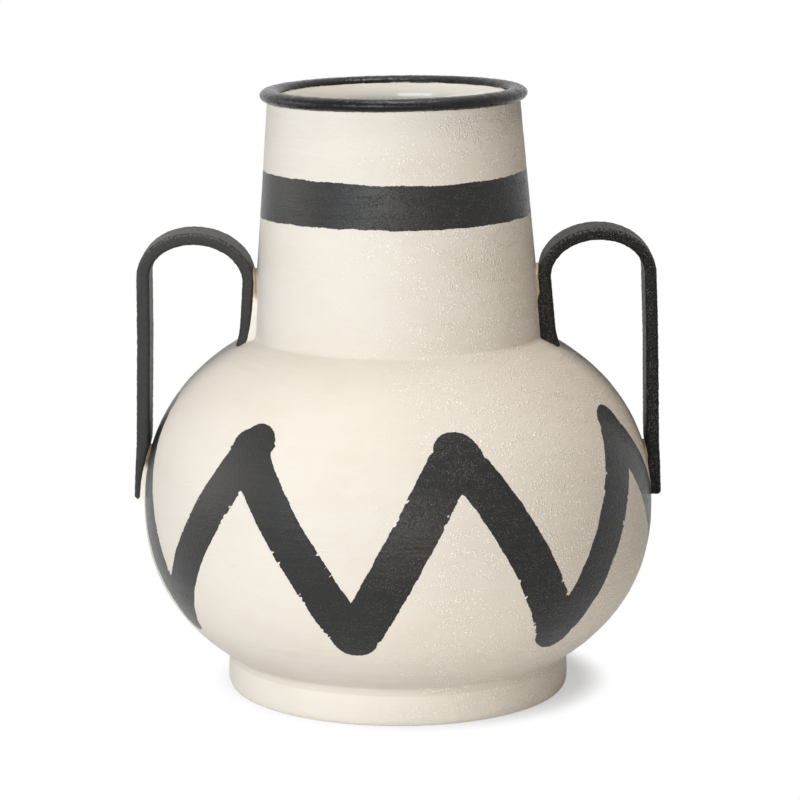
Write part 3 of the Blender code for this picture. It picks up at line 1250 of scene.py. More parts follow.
@dataclass
class Foot:
    """The foot ring and the slip wiped into the crease above it."""

    form: ThrownForm
    marks: ThrowingMarks
    width: float = 0.026
    bulge: float = 0.0007
    tuck: float = 0.0045
    round: float = 0.0080
    swell_share: float = 0.55
    edge_steps: int = 24
    edge_spacing: float = 0.8 * MM
    edge_skin: float = 0.6
    seat_steps: int = 8
    spacing: float = 1.6 * MM
    fillet: float = 0.0036
    fillet_climb: float = 0.62
    crease_out: float = 0.3 * MM
    crease_drop: float = 0.2 * MM
    bulge_share: float = 0.6
    bury: float = 0.1 * MM

    @property
    def outer(self) -> float:
        """Radius of the ring's top edge."""
        return self.form.belly_at(self.form.foot_height - self.form.joint, -self.form.joint)

    def ring(self) -> bpy.types.Object:
        """The ring: a curved seat for the bowl, a slight swell and a rounded lower edge.

        Returns:
            The ring.
        """
        inner, widest = self.outer - self.width, self.outer + self.bulge
        top = self.form.belly_height(self.outer, False, -self.form.joint)
        edge = [
            (widest - self.tuck * (1 - math.cos(turn)), self.round * (1 - math.sin(turn)))
            for turn in np.linspace(math.pi / 2, 0.0, self.edge_steps)
        ]
        seat_radii = np.linspace(self.outer, inner, self.seat_steps)
        face = [(r, self.form.belly_height(r, False, -self.form.joint)) for r in seat_radii]
        side = [edge[-1], (widest, top * self.swell_share), (self.outer, top)]
        outline = Outline().run([(inner, 0.0), edge[0]]).run(edge, self.edge_spacing, self.edge_skin)
        outline.run(side, self.spacing, 1.0).run(face)
        return turned("foot_ring_slipped", outline, self.form, self.marks)

    def crease_slip(self) -> bpy.types.Object:
        """The soft fillet between the ring and the bowl.

        Returns:
            The fillet.
        """
        form = self.form
        corner = (self.outer + self.crease_out, form.foot_height - self.crease_drop)
        up = form.foot_height + self.fillet * self.fillet_climb
        above = (form.belly_at(up) - self.bury, up)
        down = form.foot_height - form.joint - self.fillet
        below = (self.outer + self.bulge * self.bulge_share - self.bury, down)
        return fillet_ring("foot_crease_slip", below, corner, above, form, self.marks)

    def build(self, finishes: Finishes) -> None:
        """Makes and seats both pieces."""
        seat(self.ring(), finishes.foot, Slot.CLAY, "foot_ring")
        seat(self.crease_slip(), finishes.plain, Slot.JOIN, "foot_slip_joint")


FILLET_STEPS = 14
FILLET_DEPTH = 1.6 * MM


def fillet_ring(
    name: str, start: Point, corner: Point, end: Point, form: ThrownForm, marks: ThrowingMarks,
) -> bpy.types.Object:
    """A ring of slip wiped into a crease: hollow outside, buried in the clay behind.

    Args:
        name: Name of the piece.
        start: Lower edge of the fillet, on the clay.
        corner: The crease.
        end: Upper edge of the fillet, on the clay.
        form: Curves of the vase.
        marks: The unevenness of the clay.

    Returns:
        The ring.
    """
    points = [np.asarray(point) for point in (start, corner, end)]
    hollow = []
    for share in np.linspace(0.0, 1.0, FILLET_STEPS):
        first = points[0] * (1 - share) + points[1] * share
        second = points[1] * (1 - share) + points[2] * share
        hollow.append(tuple(first * (1 - share) + second * share))
    back = [(radius - FILLET_DEPTH, height) for radius, height in (end, corner, start)]
    outline = Outline().run(hollow, 0.0, 1.0).run(back)
    return turned(name, outline, form, marks)


@dataclass
class Belly:
    """The bowl and the shoulder, which meet at the widest ring under one coat of slip."""

    form: ThrownForm
    marks: ThrowingMarks
    pattern: BrushedPattern
    spacing: float = 1.9 * MM
    hidden: float = 8.0 * MM
    hem: float = 0.05 * MM
    set_back: float = 0.6 * MM

    def bowl(self) -> bpy.types.Object:
        """The lower half: floor, wall and the half lap's tongue.

        Returns:
            The bowl.
        """
        form = self.form
        outside = form.belly_curve(form.foot_recess, form.widest_height)
        inside = form.belly_curve(form.widest_height, form.floor_top, form.wall)
        lap = form.half_lap(form.belly_at, form.widest_height, 0.0)
        outline = Outline().run([(0.0, form.foot_recess), outside[0]], self.hidden)
        outline.run(outside, self.spacing, 1.0, self.hem).run(lap[1:]).run(inside, self.hidden)
        outline.run([inside[-1], (0.0, form.floor_top)], self.hidden)
        return turned("belly_bowl_slipped", outline, form, self.marks)

    def shoulder(self) -> bpy.types.Object:
        """The upper half: the half lap's rebate below and the collar for the neck above.

        Returns:
            The shoulder.
        """
        form = self.form
        outside = form.belly_curve(form.widest_height, form.crease)
        collar = form.half_lap(form.neck_at, form.crease, 0.0)
        lap = form.half_lap(form.belly_at, form.widest_height, form.joint)
        throat = form.belly_height(form.neck_at(form.crease, form.wall), True, form.wall)
        inside = form.belly_curve(throat, lap[-1][1], form.wall)
        outline = Outline().run(outside, self.spacing, 1.0, self.hem)
        outline.run(collar[1:]).run(inside, self.hidden)
        outline.run([*reversed(lap[1:]), (form.widest_radius - self.set_back, lap[0][1])])
        return turned("belly_shoulder_slipped", outline, form, self.marks)

    def build(self, finishes: Finishes) -> None:
        """Makes, paints and seats both halves.

        Args:
            finishes: Every material of the vase.
        """
        for piece, nodes in (
            (self.bowl(), ("lower_belly",)),
            (self.shoulder(), ("upper_belly", "belly_slip_joint")),
        ):
            paint_strokes(piece, self.pattern.belly_strokes)
            seat(piece, finishes.brushed, Slot.CLAY, *nodes)


@dataclass
class Neck:
    """The neck and the slip wiped into the crease where it stands on the shoulder."""

    form: ThrownForm
    marks: ThrowingMarks
    pattern: BrushedPattern
    fillet: float = 0.0026
    fillet_spread: float = 0.90
    crease_out: float = 0.2 * MM
    bury: float = 0.12 * MM
    spacing: float = 1.9 * MM
    hidden: float = 8.0 * MM
    segments: int = 480

    def cone(self) -> bpy.types.Object:
        """The neck: a straight cone, with a rebate over the shoulder's collar.

        Returns:
            The neck.
        """
        form = self.form
        lap = form.half_lap(form.neck_at, form.crease, form.joint)
        lip_out, lip_in = (form.neck_top, form.lip), (form.neck_at(form.lip, form.wall), form.lip)
        outline = Outline().run([lap[0], lip_out], self.spacing, 1.0)
        outline.run([lip_in, lap[-1]], self.hidden).run([lap[2], lap[1]])
        return turned("neck_slipped", outline, form, self.marks, self.segments)

    def crease_slip(self) -> bpy.types.Object:
        """The soft fillet between the neck and the shoulder.

        Returns:
            The fillet.
        """
        form = self.form
        reach = form.neck_base + self.fillet * self.fillet_spread
        below = (reach, form.belly_height(reach, True) - self.bury)
        rise = form.crease + self.fillet
        above = (form.neck_at(rise) - self.bury, rise)
        corner = (form.neck_base + self.crease_out, form.crease + self.crease_out)
        return fillet_ring("neck_crease_slip", below, corner, above, form, self.marks)

    def build(self, finishes: Finishes) -> None:
        """Makes, paints and seats both pieces.

        Args:
            finishes: Every material of the vase.
        """
        cone = self.cone()
        paint_strokes(cone, self.pattern.neck_ring)
        seat(cone, finishes.brushed, Slot.CLAY, "neck")
        seat(self.crease_slip(), finishes.plain, Slot.JOIN, "neck_slip_joint")


@dataclass
class Rim:
    """The rolled rim, set over the neck's lip."""

    form: ThrownForm
    marks: ThrowingMarks
    out: float = 0.0056
    inward: float = 0.0016
    black_depth: float = 5.0 * MM
    lap: float = 1.3 * MM
    oval_steps: int = 90
    spacing: float = 1.0 * MM

    def roll(self) -> bpy.types.Object:
        """The roll: an oval section with a groove for the lip.

        Returns:
            The roll.
        """
        form = self.form
        groove_out = form.neck_at(form.height - form.rim_depth) + form.gap
        groove_in = form.neck_at(form.lip, form.wall) - form.gap
        ceiling = form.lip + form.joint
        outer, inner = form.neck_top + self.out, form.neck_top - form.wall - self.inward
        middle, half, deep = (outer + inner) / 2, (outer - inner) / 2, form.rim_depth / 2
        first = -math.acos((groove_out - middle) / half)
        last = math.tau - math.acos((groove_in - middle) / half)
        oval = [
            (middle + half * math.cos(turn), form.height - deep + deep * math.sin(turn))
            for turn in np.linspace(first, last, self.oval_steps)
        ]
        outline = Outline().run(oval, self.spacing, 1.0)
        outline.run([(groove_in, ceiling), (groove_out, ceiling)])
        return turned("rim_roll_black", outline, form, self.marks)

    def brushed_edge(self, points: Array) -> Array:
        """Position of each point on the black, which ends part of the way down the inside.

        Args:
            points: Rows of x, y and z on the rim.

        Returns:
            Rows of height, length round the rim, and distance in from the black's edge.
        """
        form = self.form
        radii = np.hypot(points[:, 0] - form.lean_at(points[:, 2]), points[:, 1])
        angles = np.arctan2(points[:, 1], points[:, 0])
        top = form.height + form.rim_tilt * np.cos(angles)
        inside = self.black_depth - (top - points[:, 2])
        beneath = points[:, 2] - (top - form.rim_depth) + self.lap
        outer = radii > form.neck_top - form.wall / 2
        return np.column_stack([points[:, 2], angles * form.neck_top, np.where(outer, beneath, inside)])

    def build(self, finishes: Finishes) -> None:
        """Makes and seats the roll, and finishes the slip that it hides.

        Args:
            finishes: Every material of the vase.
        """
        roll = self.roll()
        paint_strokes(roll, self.brushed_edge)
        seat(roll, finishes.rim, Slot.BLACK, "rim_roll")
        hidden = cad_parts["rim_slip_joint"]
        hidden.data.materials.clear()
        hidden.data.materials.append(finishes.luting)
        LOG.info("rim_slip_joint: finished")


@dataclass
class Lining:
    """The coat of glaze inside."""

    form: ThrownForm
    marks: ThrowingMarks
    glaze: float = 0.0006
    flare: float = 0.0057
    flare_top: float = 0.0053
    flare_depth: float = 0.013
    flare_drop: float = 0.050
    flare_steps: int = 40
    edge: float = 0.9 * MM
    tuck: float = 15.0 * MM
    spacing: float = 2.0 * MM
    back_spacing: float = 9.0 * MM
    skin: float = 0.5
    segments: int = 320

    def face(self, depth: float) -> list[Point]:
        """The inside from the middle of the floor up to the rim, at a depth from the clay.

        Args:
            depth: How far in from the clay the face lies.

        Returns:
            (radius, height) points.
        """
        form, inset = self.form, self.form.wall + depth
        floor, top = form.floor_top + depth, form.height - form.rim_depth - form.gap
        throat = form.belly_height(form.neck_at(form.crease, inset), True, inset)
        bowl = form.belly_curve(floor, form.widest_height, inset)
        dome = form.belly_curve(form.widest_height, throat, inset)
        return [(0.0, floor), *bowl, *dome[1:], (form.neck_at(top, inset), top)]

    def mouth(self) -> list[Point]:
        """The inside of the mouth from the rim down, where the wall flares out to the roll.

        Returns:
            (radius, height) points.
        """
        form, inset = self.form, self.form.wall + self.form.gap + self.glaze
        points, fall = [], self.flare_drop - self.flare_depth
        for drop in np.linspace(0.0, self.flare_drop, self.flare_steps):
            height = form.height - self.flare_top - drop
            if drop < self.flare_depth:
                swell = math.sin(math.pi / 2 * drop / self.flare_depth)
            else:
                swell = (1 + math.cos(math.pi * (drop - self.flare_depth) / fall)) / 2
            radius = form.neck_at(height, inset) - self.edge - (self.flare - self.edge) * swell
            points.append((radius, height))
        low_radius, low_height = points[-1]
        return [*points, (low_radius + self.edge, low_height - self.tuck)]

    def build(self, finishes: Finishes) -> None:
        """Makes and seats the lining.

        Args:
            finishes: Every material of the vase.
        """
        inside = self.face(self.form.gap + self.glaze)[:-1] + list(reversed(self.mouth()))
        outline = Outline().run(self.face(self.form.gap), self.back_spacing)
        outline.run(list(reversed(inside)), self.spacing, self.skin)
        lining = turned("inside_glaze", outline, self.form, self.marks, self.segments)
        seat(lining, finishes.glaze, Slot.GLAZE, "glaze_lining")


# Handles


@dataclass(frozen=True)
class Wipe:
    """Slip wiped round one end of a strap.

    It spreads on the wall by its reach, climbs the strap's edges by its covers at given heights over the
    joint, and is black from a share of its side upward, or nowhere if that is over 1.
    """

    reach: float
    painted: float
    heights: tuple[float, ...]
    covers: tuple[float, ...]

    def at(self, height: float) -> float:
        """Share of the strap's thickness that is covered at a height over the joint."""
        return float(np.interp(height, self.heights, self.covers))


LEFT_NECK_WIPE = Wipe(
    reach=0.0045,
    painted=1.5,
    heights=(-0.0040, -0.0006, 0.0026, 0.0058, 0.0105, 0.0169, 0.0248),
    covers=(0.36, 0.26, 0.22, 0.16, 0.10, 0.03, 0.0),
)
RIGHT_NECK_WIPE = Wipe(
    reach=0.0022,
    painted=0.10,
    heights=(-0.004, 0.0, 0.005, 0.012, 0.022, 0.028),
    covers=(0.5, 0.36, 0.31, 0.29, 0.27, 0.20),
)
LEFT_BELLY_WIPE = Wipe(
    reach=0.0030,
    painted=1.5,
    heights=(-0.002, 0.0, 0.010, 0.020, 0.026),
    covers=(0.20, 0.18, 0.15, 0.06, 0.0),
)
RIGHT_BELLY_WIPE = Wipe(
    reach=0.0014,
    painted=0.06,
    heights=(-0.002, 0.0, 0.018, 0.024),
    covers=(0.30, 0.30, 0.28, 0.20),
)


@dataclass(frozen=True)
class LuteShape:
    """Sizes that all four lutes share."""

    steps: int = 44
    neck_below: float = 4.5 * MM
    neck_above: float = 10.0 * MM
    neck_opens: float = 28.0 * MM
    belly_below: float = 2.2 * MM
    belly_above: float = 36.0 * MM
    belly_opens: float = 20.0 * MM
    open_run: float = 7.0 * MM
    fade_past: float = 6.0 * MM
    fade_run: float = 22.0 * MM
    grow_start: float = 0.25
    end_run: float = 8.0 * MM
    least_close: float = 0.01
    sink: float = 0.25 * MM
    overlap: float = 0.5 * MM
    crevice_in: float = 5.0 * MM
    least_rise: float = 0.1 * MM
    bury: float = 1.2 * MM
    hollow: float = 2.2
    hollow_loss: float = 1.4
    side_steps: int = 11
    across_steps: int = 7
    behind_steps: int = 13
    # Least value of the bare layer, and its rise towards the painted shade in the crevice's middle.
    bare_least: float = 0.35
    bare_extra: float = 0.42
    crevice_at: float = 0.45
    crevice_width: float = 0.18
    painted_rise: float = 0.17
    painted_edge: float = 0.12
    sharp_angle: float = 60.0
    skin: float = 0.7


@dataclass
class Handle:
    """A strap that climbs the neck, arches over and drops to the belly, with slip wiped round both ends."""

    form: ThrownForm
    marks: ThrowingMarks
    side: Side
    neck_wipe: Wipe
    belly_wipe: Wipe
    raised: float = 0.0
    width: float = 0.044
    thickness: float = 0.0085
    outer_thickness: float = 0.0097
    edge: float = 0.0032
    leg: float = 0.0412
    arch_rise: float = 0.0327
    arch_tilt: float = 0.0052
    splay: float = 0.0195
    press: float = 0.0059
    press_share: float = 0.8
    ease: float = 0.0010
    tip: float = 0.0032
    lute: float = 0.0010
    kick: float = 0.0008
    kick_height: float = 0.010
    sunk: float = 2.0 * MM
    leg_steps: int = 40
    arch_steps: int = 120
    cap_turn: float = math.radians(86)
    cap_steps: int = 9
    tip_narrow: float = 2.0 * MM
    edge_steps: int = 9
    edge_spare: float = 0.01 * MM
    flat_spacing: float = 1.4 * MM
    spacing: float = 1.3 * MM
    # Width, fall from the crown and inset of the painted highlight along the arch's top edges.
    highlight_width: float = 0.9 * MM
    highlight_drop: float = 0.050
    highlight_inset: float = 0.3
    wiped: LuteShape = LuteShape()

    @property
    def space(self) -> float:
        """Distance from a wall to the strap on it."""
        return 2 * self.form.gap + self.lute

    @property
    def spring(self) -> float:
        """Height at which the arch springs from the inner leg."""
        return self.form.crease + self.leg + self.raised

    @property
    def end(self) -> float:
        """Height at which the rounded lower tip begins."""
        return self.form.widest_height + self.tip + self.thickness / 2 + self.raised

    def outer_leg(self, height: float) -> tuple[float, float]:
        """Middle and thickness of the outer leg at a height, pressed thin where the belly meets it.

        Args:
            height: Height over the table.

        Returns:
            Radius of the strap's middle, and its thickness.
        """
        level = self.form.belly_at(self.end) + self.space - self.press
        free = level - self.splay * (height - self.end)
        reach = self.form.belly_at(height) + self.space - free
        pressed = (reach + math.hypot(reach, self.ease)) / 2
        thick = self.outer_thickness - self.press_share * pressed
        return free + pressed + thick / 2, thick

    def inner_leg(self, height: float) -> tuple[float, float]:
        """Middle and thickness of the inner leg, which spreads a little where it stands on the shoulder.

        Args:
            height: Height over the table.

        Returns:
            Radius of the strap's middle, and its thickness.
        """
        near = max(0.0, 1.0 - (height - self.form.crease) / self.kick_height)
        thick = self.thickness + self.kick * near**2
        return self.form.neck_at(height) + self.space + thick / 2, thick

    def stations(self) -> Array:
        """Middle line of the strap, from the shoulder over the arch to the tip.

        Returns:
            Rows of x, height and thickness.
        """
        form, spring, far_spring = self.form, self.spring, self.spring + self.arch_tilt
        foot = form.belly_height(form.neck_base + self.space + self.thickness, True) - self.sunk
        legs = [(z, *self.inner_leg(z)) for z in np.linspace(foot, spring, self.leg_steps)]
        rows = [(across, z, thick) for z, across, thick in legs]
        (near, first), (far, last) = self.inner_leg(spring), self.outer_leg(far_spring)
        slope_in = (form.neck_top - form.neck_base) / (form.lip - form.crease)
        for turn in np.linspace(0.0, math.pi, self.arch_steps)[1:-1]:
            share, rise = (1 - math.cos(turn)) / 2, self.arch_rise * math.sin(turn)
            slope = slope_in * (1 - share) - self.splay * share
            across = near + (far - near) * share + slope * rise
            height = spring + self.arch_tilt * share + rise
            rows.append((across, height, first * (1 - share) + last * share))
        legs = [(z, *self.outer_leg(z)) for z in np.linspace(far_spring, self.end, self.arch_steps)]
        rows.extend((across, z, thick) for z, across, thick in legs)
        path = np.asarray(rows)
        lengths = lengths_along(path[:, :2])
        even = points_along(path, lengths, np.linspace(0.0, lengths[-1], round(lengths[-1] / self.spacing)))
        across, height, thick = even[-1]
        turns = np.linspace(0.0, self.cap_turn, self.cap_steps)[1:]
        cap = [(across, height - thick / 2 * math.sin(turn), thick * math.cos(turn)) for turn in turns]
        return np.vstack([even, cap])

    def section(self, thick: float, narrow: float) -> Array:
        """A flat section with rounded edges.

        Args:
            thick: Thickness of the strap here.
            narrow: How much each edge is drawn in.

        Returns:
            Rows of offset across the thickness and along the width.
        """
        round_x = min(self.edge, thick / 2 - self.edge_spare)
        flat_x, flat_y = thick / 2 - round_x, self.width / 2 - self.edge - narrow
        rows = []
        for quarter, (sign_x, sign_y) in enumerate(((1, 1), (-1, 1), (-1, -1), (1, -1))):
            for turn in np.linspace(0.0, math.pi / 2, self.edge_steps) + quarter * math.pi / 2:
                x = sign_x * flat_x + round_x * math.cos(turn)
                rows.append((x, sign_y * flat_y + self.edge * math.sin(turn)))
        ring = np.asarray(rows)
        filled = []
        for here, there in zip(ring, np.roll(ring, -1, axis=0)):
            parts = max(1, round(float(np.linalg.norm(there - here)) / self.flat_spacing))
            filled.extend(here + (there - here) * part / parts for part in range(parts))
        return np.asarray(filled)

    def strap(self) -> bpy.types.Object:
        """The strap itself.

        Returns:
            The strap, with the painted highlight along the top edges of its arch marked.
        """
        rows = self.stations()
        run = np.gradient(rows[:, :2], axis=0)
        run[-self.cap_steps:] = (0.0, -1.0)
        run /= np.linalg.norm(run, axis=1)[:, None]
        count = len(self.section(self.thickness, 0.0))
        crown = float(rows[:, 1].max())
        rings, wear_and_highlight = [], []
        for (across, height, thick), (run_x, run_z) in zip(rows, run):
            narrow = max(0.0, (self.end - height) / self.thickness) ** 2 * self.tip_narrow
            flat = resampled_ring(self.section(thick, narrow), count)
            x = self.side.value * (across + run_z * flat[:, 0])
            rings.append(np.column_stack([x, flat[:, 1], height - run_x * flat[:, 0]]))
            # Painted highlight on the top edges, fading away below the crown of the arch.
            wear_and_highlight.append(self.edge_highlight(flat, thick) * np.clip((height - crown) / self.highlight_drop + 1.0, 0.0, 1.0))
        if self.side is Side.LEFT:
            rings, wear_and_highlight = [ring[::-1] for ring in rings], [ring[::-1] for ring in wear_and_highlight]
        piece = lofted(f"strap_handle_{self.side.word}", rings)
        store_layer(piece, EDGE_HIGHLIGHT_LAYER, np.concatenate(wear_and_highlight))
        self.roughen(piece, 1.0)
        return piece

    def edge_highlight(self, flat: Array, thick: float) -> Array:
        """Strength of the painted highlight at the outer corners of a section, the top edges on the arch.

        Args:
            flat: Rows of offset across the thickness and along the width.
            thick: Thickness of the strap here.

        Returns:
            0 to 1 for each row.
        """
        inset = self.highlight_inset * self.edge
        across, along = flat[:, 0] + thick / 2 - inset, np.abs(flat[:, 1]) - self.width / 2 + inset
        return np.exp(-(across**2 + along**2) / self.highlight_width**2)

    def roughen(self, piece: bpy.types.Object, share: float) -> None:
        """Adds the marks of hand and brush, and the neck's lean.

        Args:
            piece: The piece to work on.
            share: Share of the marks that shows.
        """
        points = mesh_points(piece)
        normals = np.empty(len(points) * 3)
        piece.data.vertices.foreach_get("normal", normals)
        points += normals.reshape(-1, 3) * (self.marks.offsets(points) * share)[:, None]
        points[:, 0] += self.form.lean_at(points[:, 2])
        piece.data.vertices.foreach_set("co", points.ravel())
        piece.data.update()

    def neck_face(self, height: float) -> float:
        """Where the strap's inner face lies beside the neck, up to the crown of the arch.

        Args:
            height: Height over the table.

        Returns:
            Distance of the face from the axis.
        """
        rows = self.stations()
        rows = rows[: int(rows[:, 1].argmax())]
        run = np.gradient(rows[:, :2], axis=0)
        run /= np.linalg.norm(run, axis=1)[:, None]
        faces = rows[:, 0] - run[:, 1] * rows[:, 2] / 2
        return float(np.interp(height, rows[:, 1] + run[:, 0] * rows[:, 2] / 2, faces))

    def belly_face(self, height: float) -> float:
        """Where the strap's inner face lies beside the belly, down round the tip.

        Args:
            height: Height over the table.

        Returns:
            Distance of the face from the axis.
        """
        middle, thick = self.outer_leg(max(height, self.end))
        below = min(1.0, max(0.0, self.end - height) / (thick / 2))
        return middle - thick / 2 * math.sqrt(1 - below**2)

    def lute_ring(
        self, wall: float, top: float, reach: float, bare: float, close: float,
    ) -> tuple[Array, Array]:
        """Plan of a wiped lute at one height: hollow sides from the wall up to the strap's edges.

        Args:
            wall: Radius of the wall.
            top: How far out the slip climbs the strap's edges.
            reach: How far the slip spreads on the wall beside the strap.
            bare: 0 where the slip is wiped smooth, 1 where a crevice is left beside the wall.
            close: Share of the width that is left, less than 1 where the slip runs out in the crevice.

        Returns:
            Rows of x and y on the +X side, and how far up the slip's side each lies.
        """
        lute = self.wiped
        low = (self.width / 2 + reach * (1 - bare) - lute.crevice_in * bare) * close
        high = (self.width / 2 + (1 - 2 * bare) * lute.overlap) * close
        shares = np.linspace(0.0, 1.0, lute.side_steps)
        half = []
        for share in shares:
            y = low + (high - low) * share
            ground = math.sqrt(wall**2 - y**2)
            rise = max(top, ground + lute.least_rise) - ground
            half.append((ground + rise * share ** (lute.hollow - lute.hollow_loss * bare), y))
        across = [(half[-1][0], y) for y in np.linspace(high, -high, lute.across_steps + 2)[1:-1]]
        behind = [
            (math.sqrt(wall**2 - y**2) - lute.bury, y) for y in np.linspace(-low, low, lute.behind_steps)
        ]
        plan = [*half, *across, *[(x, -y) for x, y in reversed(half)], *behind]
        climbs = [shares, np.ones(lute.across_steps), shares[::-1], np.zeros(lute.behind_steps)]
        return np.asarray(plan), np.concatenate(climbs)

    def span(self, place: Joint) -> tuple[float, float, float, float]:
        """Heights of a lute's joint, lower end and upper end, and where it opens to a crevice.

        Args:
            place: The upper or the lower joint.

        Returns:
            Joint, lower end, upper end and opening, as heights over the table.
        """
        lute, crease = self.wiped, self.form.crease
        if place is Joint.NECK:
            return crease, crease - lute.neck_below, self.spring + lute.neck_above, crease + lute.neck_opens
        return self.end, self.end - lute.belly_below, self.end + lute.belly_above, self.end + lute.belly_opens

    def beside(self, place: Joint, height: float) -> tuple[float, float, float]:
        """Radius of the wall, place of the strap's inner face and the strap's thickness at a height.

        Args:
            place: The upper or the lower joint.
            height: Height over the table.

        Returns:
            Wall, inner face and thickness.
        """
        form = self.form
        if place is Joint.BELLY:
            thick = self.outer_leg(max(height, self.end))[1]
            return form.belly_at(height), self.belly_face(height), thick
        wall = form.neck_at(height) if height > form.crease else form.belly_at(height)
        return wall, self.neck_face(height), self.inner_leg(height)[1]

    def wiped_lute(self, place: Joint) -> bpy.types.Object:
        """Slip wiped round one end of the strap.

        Args:
            place: The upper or the lower joint.

        Returns:
            The slip, with its bare stretches, the painted shade in its crevice and its black stretches
            marked.
        """
        lute, wipe = self.wiped, self.neck_wipe if place is Joint.NECK else self.belly_wipe
        joint, start, end, opens = self.span(place)
        rings, bare, painted = [], [], []
        for height in np.linspace(start, end, lute.steps):
            wall, face, thick = self.beside(place, height)
            is_open = clamp((height - opens) / lute.open_run)
            fade = clamp((opens + lute.fade_past - height) / lute.fade_run)
            grow = min(1.0, lute.grow_start + (height - start) / lute.end_run)
            top = face + thick * wipe.at(height - joint) - lute.sink
            ending = max(0.0, (height - end + lute.end_run) / lute.end_run)
            close = math.sqrt(max(lute.least_close, 1 - ending**2))
            plan, climbs = self.lute_ring(wall, top, wipe.reach * fade * grow, is_open, close)
            level = np.full(len(plan), height)
            rings.append(np.column_stack([self.side.value * plan[:, 0], plan[:, 1], level]))
            # The bare layer also carries painted shade, deepest in the middle of the crevice.
            depth = np.exp(-(((climbs - lute.crevice_at) / lute.crevice_width) ** 2))
            bare.append(is_open * (lute.bare_least + lute.bare_extra * depth))
            over = climbs - wipe.painted - lute.painted_rise * is_open
            painted.append(np.clip(over / lute.painted_edge, 0.0, 1.0))
        if self.side is Side.RIGHT:
            rings, bare, painted = ([row[::-1] for row in rows] for rows in (rings, bare, painted))
        piece = lofted(f"handle_lute_{self.side.word}_{place.value}", rings, lute.sharp_angle)
        store_layer(piece, BARE_AND_SHADE_LAYER, np.concatenate(bare))
        store_layer(piece, PAINTED_LAYER, np.concatenate(painted))
        self.roughen(piece, lute.skin)
        return piece

    def build(self, finishes: Finishes) -> None:
        """Makes and seats the strap and its lutes.

        Args:
            finishes: Every material of the vase.
        """
        seat(self.strap(), finishes.black, Slot.BLACK, f"handle_{self.side.word}")
        for place in Joint:
            node = f"lute_{self.side.word}_{place.value}"
            seat(self.wiped_lute(place), finishes.luting, Slot.JOIN, node)


def resampled_ring(ring: Array, count: int) -> Array:
    """A closed ring with its points spread to a given number, by length.

    Args:
        ring: Rows of the ring's points.
        count: How many points are wanted.

    Returns:
        That many rows, evenly spaced.
    """
    closed = np.vstack([ring, ring[:1]])
    lengths = lengths_along(closed)
    return points_along(closed, lengths, np.linspace(0.0, lengths[-1], count, endpoint=False))


# Studio


@dataclass(frozen=True)
class Lamp:
    """A large soft lamp."""

    name: str
    place: Triple
    target: Triple
    size: tuple[float, float]
    power: float
    colour: Colour = (1.0, 1.0, 1.0)

    def build(self) -> bpy.types.Object:
        """Adds the lamp to the scene, aimed at its target.

        Returns:
            The lamp.
        """
        light = bpy.data.lights.new(self.name, "AREA")
        light.shape = "RECTANGLE"
        light.size, light.size_y = self.size
        light.energy = self.power
        light.color = self.colour
        made = bpy.data.objects.new(self.name, light)
        made.location = self.place
        made.rotation_euler = (Vector(self.target) - Vector(self.place)).to_track_quat("-Z", "Y").to_euler()
        bpy.context.scene.collection.objects.link(made)
        return made


DAYLIGHT: Colour = (0.81, 0.925, 1.0)


